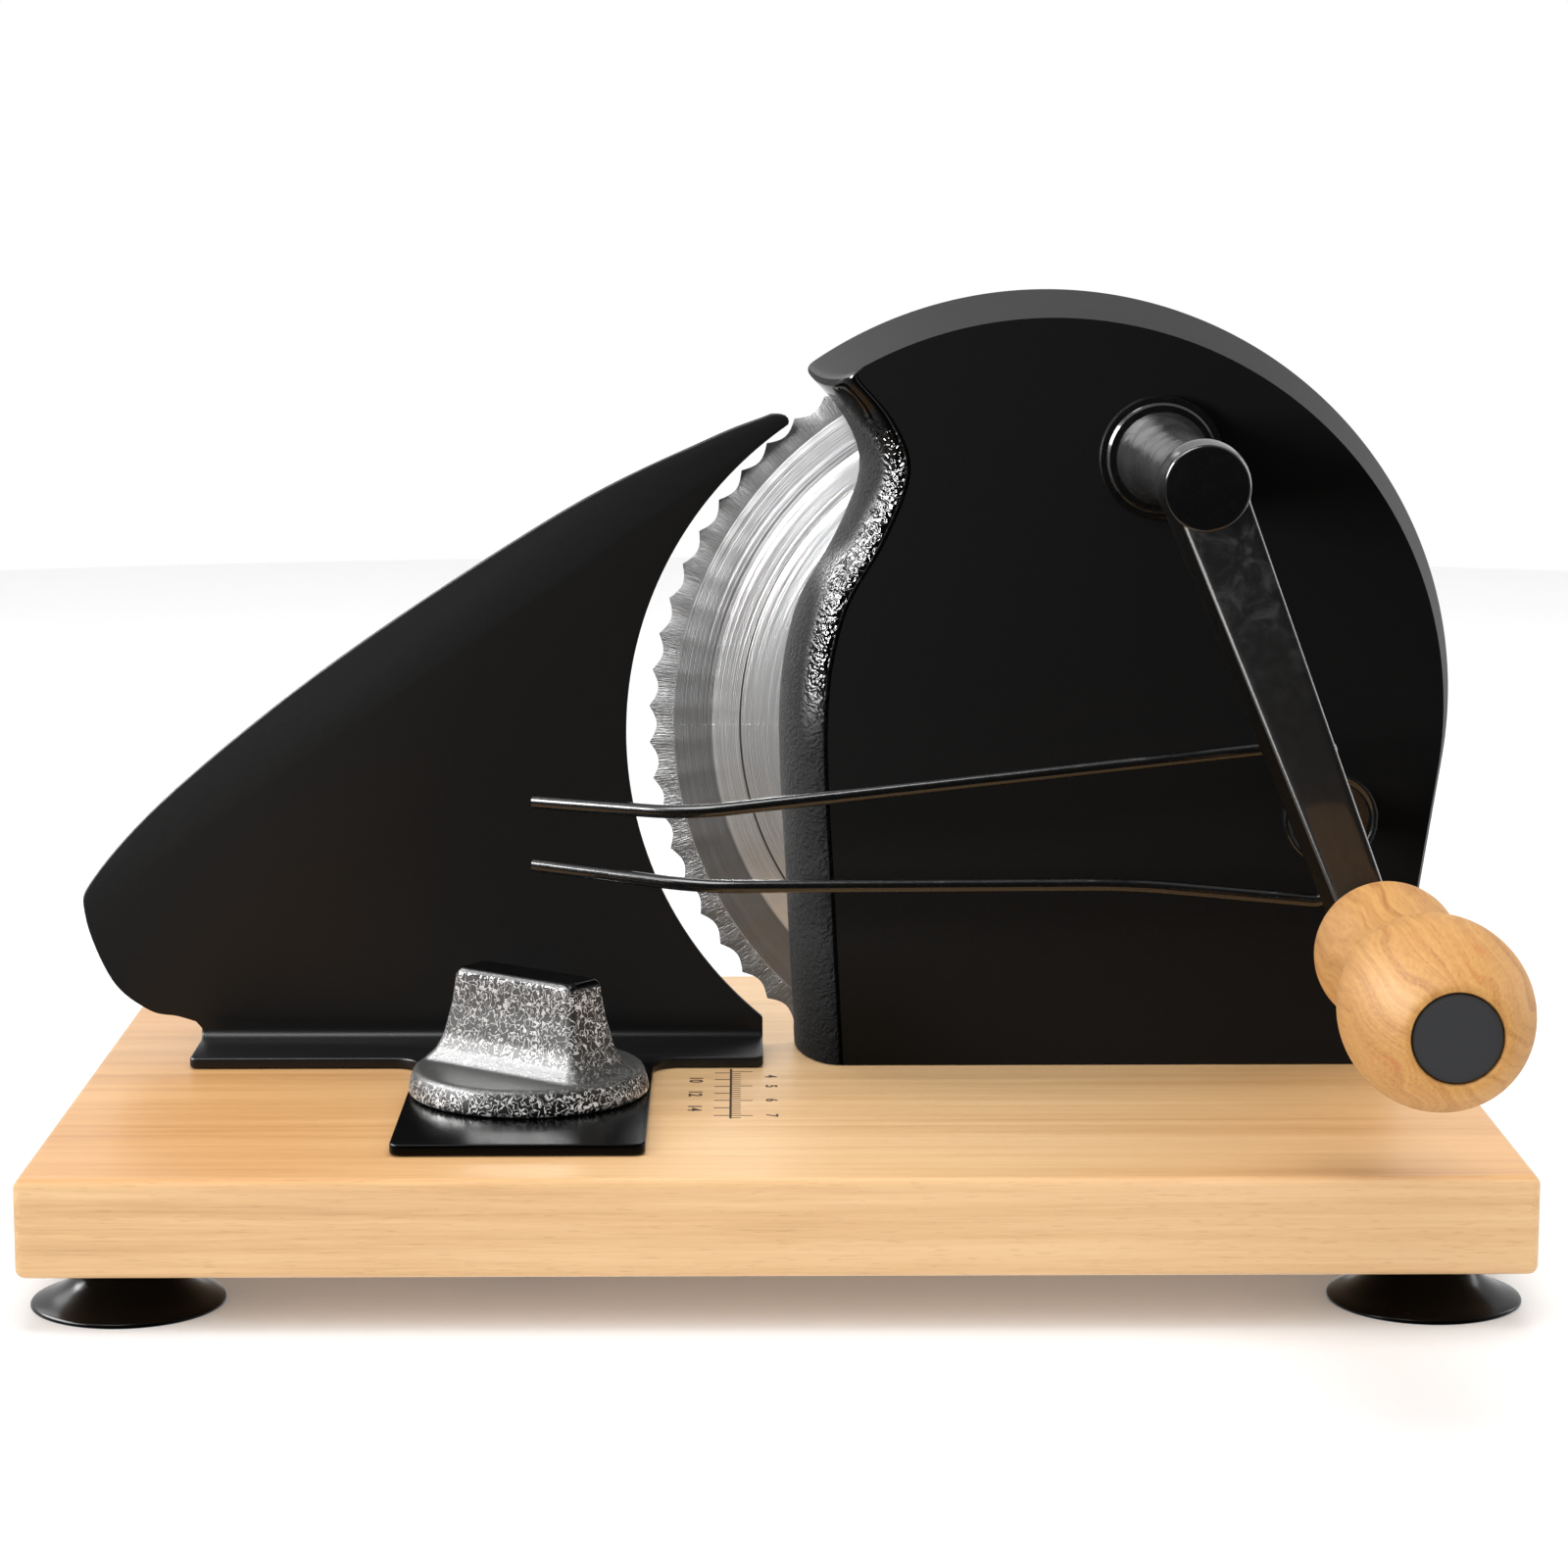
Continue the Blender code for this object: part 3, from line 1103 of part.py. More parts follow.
def make_knob(axis, hammered, brass):
    """The clamp knob: a low round base with a tapered bar grip, on a threaded insert."""
    top_radius = KNOB_RADIUS - KNOB_RIM_DRAFT
    lip = KNOB_RIM_DRAFT / 2
    base = lathe(
        (
            (0, KNOB_BOTTOM),
            (KNOB_RADIUS - lip, KNOB_BOTTOM),
            (KNOB_RADIUS, KNOB_BOTTOM + lip),
            (top_radius + lip / 2, KNOB_BOTTOM + KNOB_RIM - lip),
            (top_radius - lip / 2, KNOB_BOTTOM + KNOB_RIM),
            (0, KNOB_BOTTOM + KNOB_RIM),
        ),
        "Z",
        KNOB_ROUND,
    )
    knob = finish("clamp_knob", base, hammered, axis)
    knob.rotation_euler.z = math.radians(KNOB_REST)
    grip = bmesh.new()
    loops = []
    rise = KNOB_HEIGHT - KNOB_RIM
    for share, spread in GRIP_SECTIONS:
        long_side = GRIP_TOP_LENGTH + (GRIP_ROOT_LENGTH - GRIP_TOP_LENGTH) * spread
        short_side = GRIP_TOP_WIDTH + (GRIP_ROOT_WIDTH - GRIP_TOP_WIDTH) * spread
        x = long_side / 2
        y = short_side / 2
        corner = min(GRIP_CORNER * (1 + 2 * max(spread, 0)), y * 0.9)
        outline = rounded(((-x, -y, corner), (x, -y, corner), (x, y, corner), (-x, y, corner)), 5)
        height = KNOB_BOTTOM + KNOB_RIM + rise * share
        loops.append([grip.verts.new((a, b, height)) for a, b in outline])
    loft(grip, loops)
    grip.faces.new(loops[0])
    grip.faces.new(loops[-1])
    tool = finish("tool_grip", grip, hammered, axis)
    tool.rotation_euler.z = math.radians(KNOB_REST)
    boolean(knob, tool, "UNION")
    insert_top = KNOB_BOTTOM + INSERT_DEPTH
    low = KNOB_BOTTOM - CUT_PAST
    pocket = cylinder(INSERT_RADIUS + SEAT_GAP, low, insert_top + SEAT_GAP, "Z", SMALL_ROUND)
    boolean(knob, finish("tool_pocket", pocket, hammered, axis))
    bore = STUD_RADIUS + RUNNING_GAP
    insert = lathe(
        (
            (0, insert_top),
            (INSERT_RADIUS, insert_top),
            (INSERT_RADIUS, KNOB_BOTTOM + SEAT_GAP),
            (bore, KNOB_BOTTOM + SEAT_GAP),
            (bore, insert_top - INSERT_END),
            (0, insert_top - INSERT_END),
        ),
        "Z",
        SMALL_ROUND,
    )
    finish("knob_insert", insert, brass, axis)


def make_wire(name, route, end, material, parent):
    """A bent wire through its route: straight runs with round bends, butting on the disc's rim."""
    points = [Vector((x, WIRE_Y, z)) for x, z in route]
    points[0].y += WIRE_END_BACK
    points.append(Vector((end[0], WIRE_Y, end[1])))
    path = [points[0]]
    for before, here, after in zip(points, points[1:], points[2:]):
        reach = min((before - here).length, (after - here).length, 0.024) * 0.48
        start = here + (before - here).normalized() * reach
        stop = here + (after - here).normalized() * reach
        for step in range(7):
            t = step / 6
            path.append(start * (1 - t) ** 2 + here * 2 * t * (1 - t) + stop * t**2)
    path.append(points[-1])
    curve = bpy.data.curves.new(name, "CURVE")
    curve.dimensions = "3D"
    curve.bevel_depth = WIRE_RADIUS
    curve.bevel_resolution = 2
    curve.use_fill_caps = True
    spline = curve.splines.new("POLY")
    spline.points.add(len(path) - 1)
    for spot, point in zip(spline.points, path):
        spot.co = (*point, 1.0)
    spline.use_smooth = True
    return place(name, curve, material, parent)


def make_guard(frame, axis, enamel, steel):
    """The two wires that hold the slice, on a dished disc that swings on the case."""
    bore = GUARD_SCREW_RADIUS + RUNNING_GAP
    floor = DISC_RADIUS - DISC_RIM
    disc = lathe(
        (
            (bore, DISC_FRONT + DISC_DISH),
            (floor, DISC_FRONT + DISC_DISH),
            (floor + DISC_RIM * 0.4, DISC_FRONT),
            (DISC_RADIUS - DISC_RIM * 0.2, DISC_FRONT),
            (DISC_RADIUS, DISC_FRONT + DISC_RIM * 0.3),
            (DISC_RADIUS, DISC_REAR),
            (bore, DISC_REAR),
        ),
        closed=True,
    )
    finish("guard_disc", disc, enamel, axis)
    rim = DISC_RADIUS + SEAT_GAP
    make_wire("guard_wire_upper", UPPER_WIRE, (0, rim), enamel, axis)
    make_wire("guard_wire_lower", LOWER_WIRE, (0, -rim), enamel, axis)
    pivot = (GUARD_X, 0, GUARD_Z)
    post = ring(GUARD_POST_RADIUS, bore, DISC_REAR + RUNNING_GAP, CASE_FRONT - SEAT_GAP, sides=SMALL_ROUND)
    finish("guard_post", post, enamel, frame, pivot)
    head = DISC_FRONT + DISC_DISH - RUNNING_GAP
    screw_end = CASE_INSIDE + CASE_BOSS_HEIGHT / 2
    screw = lathe(
        (
            (0, head - GUARD_SCREW_HEAD_HEIGHT),
            (GUARD_SCREW_HEAD * 0.7, head - GUARD_SCREW_HEAD_HEIGHT),
            (GUARD_SCREW_HEAD, head - GUARD_SCREW_HEAD_HEIGHT * 0.4),
            (GUARD_SCREW_HEAD, head),
            (GUARD_SCREW_RADIUS, head),
            (GUARD_SCREW_RADIUS, screw_end),
            (0, screw_end),
        ),
        sides=SMALL_ROUND,
    )
    finish("guard_screw", screw, steel, frame, pivot)


def stand_on_origin(frame):
    """Move the whole object so that the middle of its box stands on the origin."""
    bpy.context.view_layer.update()
    graph = bpy.context.evaluated_depsgraph_get()
    points = []
    for obj in bpy.data.objects:
        if obj.type in ("MESH", "CURVE") and not obj.hide_render:
            evaluated = obj.evaluated_get(graph)
            mesh = evaluated.to_mesh()
            points += [evaluated.matrix_world @ vertex.co for vertex in mesh.vertices]
            evaluated.to_mesh_clear()
    low = Vector([min(point[k] for point in points) for k in range(3)])
    high = Vector([max(point[k] for point in points) for k in range(3)])
    frame.location = (-(low.x + high.x) / 2, -(low.y + high.y) / 2, -low.z)
    bpy.context.view_layer.update()


def main():
    clear_scene()
    beech = make_material("beech", (0.72, 0.49, 0.27), 0.42)
    turned_wood = make_material("turned_wood", (0.78, 0.53, 0.28), 0.45)
    rubber = make_material("black_rubber", (0.012, 0.012, 0.013), 0.25)
    black_sheet = make_material("black_sheet", (0.014, 0.014, 0.015), 0.55)
    enamel = make_material("black_enamel", (0.010, 0.010, 0.011), 0.22)
    hammered = make_material("hammered_silver", (0.36, 0.35, 0.34), 0.35, 0.6)
    stainless = make_material("stainless", (0.62, 0.62, 0.61), 0.25, 1.0)
    steel = make_material("zinc_steel", (0.50, 0.50, 0.50), 0.35, 1.0)
    brass = make_material("brass", (0.70, 0.52, 0.25), 0.35, 1.0)
    cap_grey = make_material("cap_grey", (0.035, 0.036, 0.038), 0.60)

    frame = make_empty("slicer_frame", (0, 0, 0))
    crank_axis = make_empty("crank_axis", (CRANK_X, 0, CRANK_Z), frame)
    handle_offset = (HANDLE_X - CRANK_X, 0, HANDLE_Z - CRANK_Z)
    handle_axis = make_empty("handle_axis", handle_offset, crank_axis)
    blade_axis = make_empty("blade_axis", (BLADE_AXIS_X, 0, BLADE_AXIS_Z), frame)
    fence_slide = make_empty("fence_slide", (0, 0, 0), frame)
    knob_axis = make_empty("knob_axis", (KNOB_X, KNOB_Y, 0), fence_slide)
    guard_axis = make_empty("guard_axis", (GUARD_X, 0, GUARD_Z), frame)

    make_board(frame, beech)
    make_cups(frame, rubber, steel)
    make_case(frame, enamel, steel)
    make_blade_bearing(frame, steel)
    make_blade(blade_axis, stainless, steel, brass)
    make_crank(frame, crank_axis, enamel, steel, brass)
    make_handle(handle_axis, turned_wood, cap_grey)
    make_fence(fence_slide, black_sheet, steel)
    make_knob(knob_axis, hammered, brass)
    make_guard(frame, guard_axis, enamel, steel)
    stand_on_origin(frame)


main()
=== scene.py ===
# %% [markdown]
# # A hand-cranked bread slicer
#
# The slicer is a wooden board on suction cups. A cast case holds a crank, two gears and a round
# scalloped blade. A bent stop plate slides on the board to set the slice's thickness, and a wire
# guard keeps the slices upright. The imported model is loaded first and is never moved. Each piece that
# shows is then modelled again more finely in the same place, and rides on the same body.

# %% Load the frame
import json
import math

import bmesh
import bpy
from mathutils import Matrix, Vector


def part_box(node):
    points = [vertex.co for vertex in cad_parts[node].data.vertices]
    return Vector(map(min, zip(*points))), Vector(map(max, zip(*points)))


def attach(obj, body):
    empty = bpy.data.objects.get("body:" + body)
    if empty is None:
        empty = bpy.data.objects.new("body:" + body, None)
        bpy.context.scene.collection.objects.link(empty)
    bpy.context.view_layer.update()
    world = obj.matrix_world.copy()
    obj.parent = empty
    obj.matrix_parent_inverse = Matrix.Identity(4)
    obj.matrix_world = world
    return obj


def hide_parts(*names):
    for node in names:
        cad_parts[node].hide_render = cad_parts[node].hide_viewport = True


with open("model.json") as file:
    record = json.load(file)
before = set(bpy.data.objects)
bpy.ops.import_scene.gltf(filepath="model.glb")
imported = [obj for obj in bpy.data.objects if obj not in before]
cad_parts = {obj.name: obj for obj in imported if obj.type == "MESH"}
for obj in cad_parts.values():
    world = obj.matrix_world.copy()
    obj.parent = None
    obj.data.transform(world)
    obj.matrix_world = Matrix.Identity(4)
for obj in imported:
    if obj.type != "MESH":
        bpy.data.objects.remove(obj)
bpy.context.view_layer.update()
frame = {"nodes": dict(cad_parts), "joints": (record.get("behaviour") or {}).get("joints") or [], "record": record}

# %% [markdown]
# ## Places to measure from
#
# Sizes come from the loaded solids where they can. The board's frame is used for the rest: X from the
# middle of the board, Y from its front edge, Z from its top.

MM = 0.001
SEAT_GAP = 0.3
low = {name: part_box(name)[0] for name in frame["nodes"]}
high = {name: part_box(name)[1] for name in frame["nodes"]}
centre = {name: (low[name] + high[name]) / 2 for name in low}
slot_of = {row["node"]: row["material_slot"] for row in frame["record"]["subparts"]}
axis_of = {joint["name"]: Vector(joint.get("pos_m", (0, 0, 0))) for joint in frame["joints"]}
AXLE, CRANK, SPINDLE = axis_of["blade_spin"], axis_of["crank_spin"], axis_of["handle_spin"]
GUARD, KNOB = axis_of["guard_swing"], axis_of["knob_turn"]
board_frame = Vector((centre["board"].x, low["board"].y, high["board"].z))
print("board frame", [round(value, 5) for value in board_frame], "nodes", len(frame["nodes"]))


def on_board(x, y, z):
    """A place in the board's frame, in millimetres, as a place in the scene."""
    return board_frame + Vector((x, y, z)) * MM


# %% [markdown]
# ## Camera
#
# The photograph was solved for its camera: it stands almost a metre in front of the board, a little
# left of its middle, and looks slightly down with a long lens, so the board's sides converge gently.

# %% Place the camera
CAMERA_PLACE = on_board(-8.0, -896.7, 236.0)
CAMERA_PITCH = 8.9
CAMERA_YAW = 0.6
CAMERA_LENS = 88.65

aim = (math.radians(90 - CAMERA_PITCH), 0, math.radians(-CAMERA_YAW))
bpy.ops.object.select_all(action="DESELECT")
bpy.ops.object.camera_add(location=CAMERA_PLACE, rotation=aim)
camera = bpy.context.object
camera.data.sensor_width = 36
camera.data.lens = CAMERA_LENS
camera.data.clip_end = 20
bpy.context.scene.camera = camera
print("camera", [round(value, 3) for value in camera.location])

# %% [markdown]
# ## Working with the modelling tools
#
# Every piece below is drawn with the tools a person would use. A few small helpers save typing: they
# select, soften and combine pieces, draw a chain of vertices, turn such a chain on a lathe, make a plate
# from an outline, and finish a piece and hang it on its body.


# %% Select, soften and combine
def clear_hands():
    """Leave edit mode with nothing selected."""
    if bpy.context.mode != "OBJECT":
        bpy.ops.object.mode_set(mode="OBJECT")
    bpy.ops.object.select_all(action="DESELECT")


def pick(*pieces):
    """Select these pieces, the last of them active."""
    clear_hands()
    for piece in pieces:
        piece.select_set(True)
    bpy.context.view_layer.objects.active = pieces[-1]
    return pieces[-1]


def add_modifier(piece, kind, **settings):
    """Add a modifier and apply it at once."""
    pick(piece)
    modifier = piece.modifiers.new(kind.title(), kind)
    for name, value in settings.items():
        setattr(modifier, name, value)
    bpy.ops.object.modifier_apply(modifier=modifier.name)


def soften(piece, width, segments=3, angle=40):
    """Round the edges that are sharper than an angle, by a width in millimetres."""
    limit = {"limit_method": "ANGLE", "angle_limit": math.radians(angle)}
    add_modifier(piece, "BEVEL", width=width * MM, segments=segments, use_clamp_overlap=True, **limit)


def melt(piece, cell, rounds):
    """Rebuild a piece from even cells, with a size in millimetres, and smooth it."""
    add_modifier(piece, "REMESH", mode="VOXEL", voxel_size=cell * MM, adaptivity=0.0)
    add_modifier(piece, "SMOOTH", factor=0.5, iterations=rounds)


def combine(piece, tool, operation="DIFFERENCE"):
    """Cut a tool out of a piece, or weld it on, and put the tool away."""
    add_modifier(piece, "BOOLEAN", object=tool, operation=operation, solver="EXACT")
    bpy.data.objects.remove(tool, do_unlink=True)


# %% Draw, turn and extrude
def draw(points):
    """Draw a chain of vertices, leaving it selected in edit mode."""
    points = [Vector(point) for point in points]
    clear_hands()
    bpy.ops.mesh.primitive_plane_add(size=MM, location=points[0])
    bpy.ops.object.mode_set(mode="EDIT")
    bpy.ops.mesh.select_mode(type="VERT")
    bpy.ops.mesh.merge(type="CENTER")
    for here, there in zip(points, points[1:]):
        bpy.ops.mesh.extrude_vertices_move(TRANSFORM_OT_translate={"value": tuple(there - here)})
    bpy.ops.mesh.select_all(action="SELECT")


def close_up(weld=0.0):
    """Weld doubled vertices, turn the faces outwards and leave edit mode."""
    bpy.ops.mesh.select_all(action="SELECT")
    if weld:
        bpy.ops.mesh.remove_doubles(threshold=weld * MM)
    bpy.ops.mesh.normals_make_consistent(inside=False)
    bpy.ops.object.mode_set(mode="OBJECT")
    return bpy.context.object


def turned(profile, axis, middle, start=0.0, steps=96):
    """Turn a profile of (radius, place) on a lathe, in millimetres from start along the axis."""
    index = "XYZ".index(axis)
    points = []
    for radius, place in profile:
        points.append(Vector((middle.x + radius * MM, middle.y, middle.z)))
        points[-1][index] = start + place * MM
    draw(points)
    direction = [float(number == index) for number in range(3)]
    bpy.ops.mesh.spin(steps=steps, angle=math.tau, center=tuple(middle), axis=direction)
    return close_up(0.001)


def plate(points, thickness):
    """A plate from a closed outline, extruded by a vector."""
    draw(points)
    bpy.ops.mesh.edge_face_add()
    bpy.ops.mesh.extrude_region_move(TRANSFORM_OT_translate={"value": tuple(thickness)})
    return close_up()


def rod(radius, place, start, end, axis="Y", sides=64):
    """A cylinder along an axis through a place, as a drill or a pin. Its radius is in millimetres."""
    near, far = Vector(place), Vector(place)
    near["XYZ".index(axis)] = start
    far["XYZ".index(axis)] = end
    clear_hands()
    bpy.ops.mesh.primitive_cylinder_add(
        vertices=sides,
        radius=radius * MM,
        depth=(far - near).length,
        location=(near + far) / 2,
        rotation=(far - near).to_track_quat("Z", "Y").to_euler(),
    )
    return bpy.context.object


def brick(corner, opposite):
    """A block between two corners."""
    clear_hands()
    corner, opposite = Vector(corner), Vector(opposite)
    size = opposite - corner
    bpy.ops.mesh.primitive_cube_add(size=1, location=(corner + opposite) / 2, scale=size)
    bpy.ops.object.transform_apply(location=False, rotation=False, scale=True)
    return bpy.context.object


# %% Select by place
def edit(piece, kind):
    """Open a piece in edit mode with nothing selected."""
    pick(piece)
    bpy.ops.object.mode_set(mode="EDIT")
    bpy.ops.mesh.select_mode(type=kind)
    bpy.ops.mesh.select_all(action="DESELECT")
    return bmesh.from_edit_mesh(piece.data)


def pick_vertices(piece, wanted):
    """Select the vertices that a test picks, by place."""
    mesh = edit(piece, "VERT")
    for vert in mesh.verts:
        vert.select = wanted(piece.matrix_world @ vert.co)
    mesh.select_flush(True)
    bmesh.update_edit_mesh(piece.data)


def pick_faces(piece, wanted):
    """Select the faces that a test picks, by middle and normal."""
    mesh = edit(piece, "FACE")
    turn = piece.matrix_world.to_3x3()
    for face in mesh.faces:
        middle = piece.matrix_world @ face.calc_center_median()
        face.select_set(wanted(middle, turn @ face.normal))
    bmesh.update_edit_mesh(piece.data)


# %% Curves that outlines are drawn with
def smooth_curve(points, per_span):
    """A smooth curve through the given points."""
    knots = [Vector(point) for point in points]
    ends = [2 * knots[0] - knots[1]] + knots + [2 * knots[-1] - knots[-2]]
    curve = []
    for index in range(1, len(ends) - 2):
        a, b, c, d = ends[index - 1 : index + 3]
        for step in range(per_span):
            t = step / per_span
            square = (2 * a - 5 * b + 4 * c - d) * t**2
            cube = (3 * b - a - 3 * c + d) * t**3
            curve.append(0.5 * (2 * b + (c - a) * t + square + cube))
    return curve + [knots[-1]]


def bend(before, corner, after, shares):
    """Points on the round bend that leaves one place and enters another, with a corner between."""
    return [before * (1 - t) ** 2 + corner * 2 * t * (1 - t) + after * t**2 for t in shares]


def arc(middle, radius, start, end, count):
    """Points on an arc between two angles in degrees, both ends included."""
    angles = [math.radians(start + (end - start) * step / (count - 1)) for step in range(count)]
    return [Vector(middle) + Vector((math.cos(angle), math.sin(angle))) * radius for angle in angles]


def rectangle(left, right, front, rear, radius):
    """The corners of a rectangle, all rounded alike."""
    return [(left, front, radius), (right, front, radius), (right, rear, radius), (left, rear, radius)]


def rounded(corners, count=8):
    """An outline whose corners, given as (x, y, radius), are rounded."""
    points = []
    for index, (x, y, radius) in enumerate(corners):
        here = Vector((x, y))
        if radius <= 0:
            points.append(here)
            continue
        before = (Vector(corners[index - 1][:2]) - here).normalized()
        after = (Vector(corners[(index + 1) % len(corners)][:2]) - here).normalized()
        half = before.angle(after) / 2
        middle = here + (before + after).normalized() * radius / math.sin(half)
        first = here + before * radius / math.tan(half) - middle
        last = here + after * radius / math.tan(half) - middle
        turn = first.angle_signed(last) / (count - 1)
        points += [middle + Matrix.Rotation(-turn * step, 2) @ first for step in range(count)]
    return points


def resample(points, count):
    """The given number of points, evenly spaced along a chain."""
    lengths = [0.0]
    for start, end in zip(points, points[1:]):
        lengths.append(lengths[-1] + (end - start).length)
    spaced = []
    span = 0
    for step in range(count):
        target = lengths[-1] * step / (count - 1)
        while span < len(points) - 2 and lengths[span + 1] < target:
            span += 1
        share = (target - lengths[span]) / max(lengths[span + 1] - lengths[span], 1e-12)
        spaced.append(points[span].lerp(points[span + 1], share))
    return spaced


# %% [markdown]
# ## Writing shader maths
#
# Long node trees are easier to read as sums. A Wire wraps a node's output, and adding or multiplying
# wires adds Math nodes. Nodes adds any node, sets its settings, then fills its sockets with values or
# wires. A Recipe is the nodes of one finish, and knows places and directions on the piece.


# %% Wires
class Wire:
    """A node's output that can be used in sums."""

    def __init__(self, nodes, socket):
        self.nodes = nodes
        self.socket = socket

    def maths(self, operation, *others):
        values = dict(enumerate((self, *others)))
        return self.nodes.node("ShaderNodeMath", {"operation": operation}, values)

    def flipped(self, operation, other):
        return self.nodes.node("ShaderNodeMath", {"operation": operation}, {0: other, 1: self})

    def __add__(self, other):
        return self.maths("ADD", other)

    def __sub__(self, other):
        return self.maths("SUBTRACT", other)

    def __rsub__(self, other):
        return self.flipped("SUBTRACT", other)

    def __mul__(self, other):
        return self.maths("MULTIPLY", other)

    __radd__ = __add__
    __rmul__ = __mul__

    def off(self, value):
        """How far the wire is from a value, whichever way."""
        return (self - value).maths("ABSOLUTE")

    def step(self, start, end, first=0.0, last=1.0, change="SMOOTHSTEP"):
        """The first value below start and the last above end, with a change between."""
        settings = {"interpolation_type": change, "clamp": True}
        values = {0: self, 1: start, 2: end, 3: first, 4: last}
        return self.nodes.node("ShaderNodeMapRange", settings, values)


# %% Nodes and recipes
def rgba(colour):
    """A colour with full cover. One number is a grey."""
    return (*colour, 1.0) if isinstance(colour, tuple) else (colour, colour, colour, 1.0)


class Nodes:
    """A node tree that is written in Python."""

    def __init__(self, tree):
        self.tree = tree

    def node(self, kind, settings=None, inputs=None, output=0):
        """Add a node: its settings first, then values or wires for its sockets."""
        made = self.tree.nodes.new(kind)
        for name, value in (settings or {}).items():
            if name == "stops":
                self.set_stops(made.color_ramp, value)
            else:
                setattr(made, name, value)
        for key, value in (inputs or {}).items():
            if isinstance(value, Wire):
                self.tree.links.new(value.socket, made.inputs[key])
            else:
                made.inputs[key].default_value = value
        return Wire(self, made.outputs[output])

    def set_stops(self, ramp, stops):
        while len(ramp.elements) < len(stops):
            ramp.elements.new(0.5)
        for element, (position, colour) in zip(ramp.elements, stops):
            element.position = position
            element.color = rgba(colour)

    def split(self, vector):
        parts = self.tree.nodes.new("ShaderNodeSeparateXYZ")
        self.tree.links.new(vector.socket, parts.inputs[0])
        return [Wire(self, output) for output in parts.outputs]

    def mix(self, share, first, second, blend="MIX"):
        """Blend two colours."""
        first, second = [value if isinstance(value, Wire) else rgba(value) for value in (first, second)]
        settings = {"data_type": "RGBA", "blend_type": blend}
        return self.node("ShaderNodeMix", settings, {0: share, 6: first, 7: second}, 2)


class Recipe(Nodes):
    """The nodes of one finish. How strongly it shines comes first, then fixed values of its sockets."""

    def __init__(self, name, shine=0.5, **fixed):
        self.material = bpy.data.materials.new(name)
        self.material.use_nodes = True
        super().__init__(self.material.node_tree)
        self.name = name
        self.sockets = self.tree.nodes["Principled BSDF"].inputs
        self.sockets["Specular IOR Level"].default_value = shine
        for socket, value in fixed.items():
            self.sockets[socket.replace("_", " ").title()].default_value = value
        self.place = self.node("ShaderNodeTexCoord", output="Object")
        self.x, self.y, self.z = self.split(self.place)

    def facing(self):
        """The three parts of the direction that the surface faces."""
        return self.split(self.node("ShaderNodeNewGeometry", output="Normal"))

    def rise(self, start, end, foot=board_frame.z):
        """0 below start and 1 above end, in millimetres over a foot, or else over the board's top."""
        return self.z.step(foot + start * MM, foot + end * MM)

    def scaled(self, scale, middle=(0, 0, 0)):
        """The piece's own coordinates from a middle, multiplied along each axis."""
        scale = scale if isinstance(scale, tuple) else (scale, scale, scale)
        shift, stretch = {"operation": "SUBTRACT"}, {"operation": "MULTIPLY"}
        centred = self.node("ShaderNodeVectorMath", shift, {0: self.place, 1: tuple(middle)})
        return self.node("ShaderNodeVectorMath", stretch, {0: centred, 1: scale})

    def noise(self, vector, detail=2.0, rough=0.5, distortion=0.0):
        """Noise on a vector, or on the piece's coordinates times a scale."""
        vector = vector if isinstance(vector, Wire) else self.scaled(vector)
        inputs = {"Vector": vector, "Scale": 1.0, "Detail": detail, "Roughness": rough}
        return self.node("ShaderNodeTexNoise", None, {**inputs, "Distortion": distortion}, "Fac")

    def vector(self, x, y, z):
        return self.node("ShaderNodeCombineXYZ", None, {0: x, 1: y, 2: z})

    def bump(self, height, depth, under=None):
        """A relief of the given depth in millimetres, over another if there is one."""
        inputs = {"Height": height, "Distance": depth * MM, "Strength": 1.0}
        return self.node("ShaderNodeBump", None, {**inputs, "Normal": under} if under else inputs)

    def feed(self, **wires):
        """Link wires to the shader's sockets, such as base_color, and keep the finish by its name."""
        for name, wire in wires.items():
            self.tree.links.new(wire.socket, self.sockets[name.replace("_", " ").title()])
        finishes[self.name] = self.material


finishes = {}

# %% [markdown]
# ## Lacquered beech
#
# Beech is a fine, even wood. Its grain runs along the board in long faint streaks, with short darker
# flecks, and satin lacquer gives it a soft shine. Stretching noise along the grain gives the streaks:
# the same noise shows as small rounds on the ends, which is what end grain looks like.


# %% Beech for the board
def beech_board():
    recipe = Recipe("beech", 0.45, coat_roughness=0.25, coat_weight=0.25)
    broad = recipe.noise((2.2, 26, 26), 3.0, distortion=0.4)
    streak = recipe.noise((5, 230, 230), 4.0, 0.6, 0.2)
    fibre = recipe.noise((40, 1500, 1500), 3.0, 0.65)
    fleck = recipe.noise((160, 2600, 2600), 1.0).step(0.62, 0.72)
    tone = broad * 0.42 + streak * 0.38 + fibre * 0.2
    stops = (
        (0.30, (0.50, 0.275, 0.115)),
        (0.44, (0.68, 0.418, 0.200)),
        (0.54, (0.755, 0.492, 0.252)),
        (0.70, (0.83, 0.570, 0.315)),
    )
    colour = recipe.node("ShaderNodeValToRGB", {"stops": stops}, {"Fac": tone})
    colour = recipe.mix(fleck * 0.22, colour, (0.40, 0.19, 0.07))
    # Painted shade: away from its middle, the board's top is multiplied to a darker, warmer colour.
    painted_top_shade = recipe.x.off(20 * MM).step(30 * MM, 170 * MM) * recipe.facing()[2].step(0.6, 0.9)
    colour = recipe.mix(painted_top_shade, colour, (0.90, 0.77, 0.62), "MULTIPLY")
    rough = 0.34 + fibre * 0.14 + streak * 0.06
    relief = recipe.bump(fibre + fleck * -0.6, 0.035, recipe.bump(streak, 0.06))
    recipe.feed(base_color=colour, roughness=rough, normal=relief)


beech_board()
print("finishes", len(finishes))

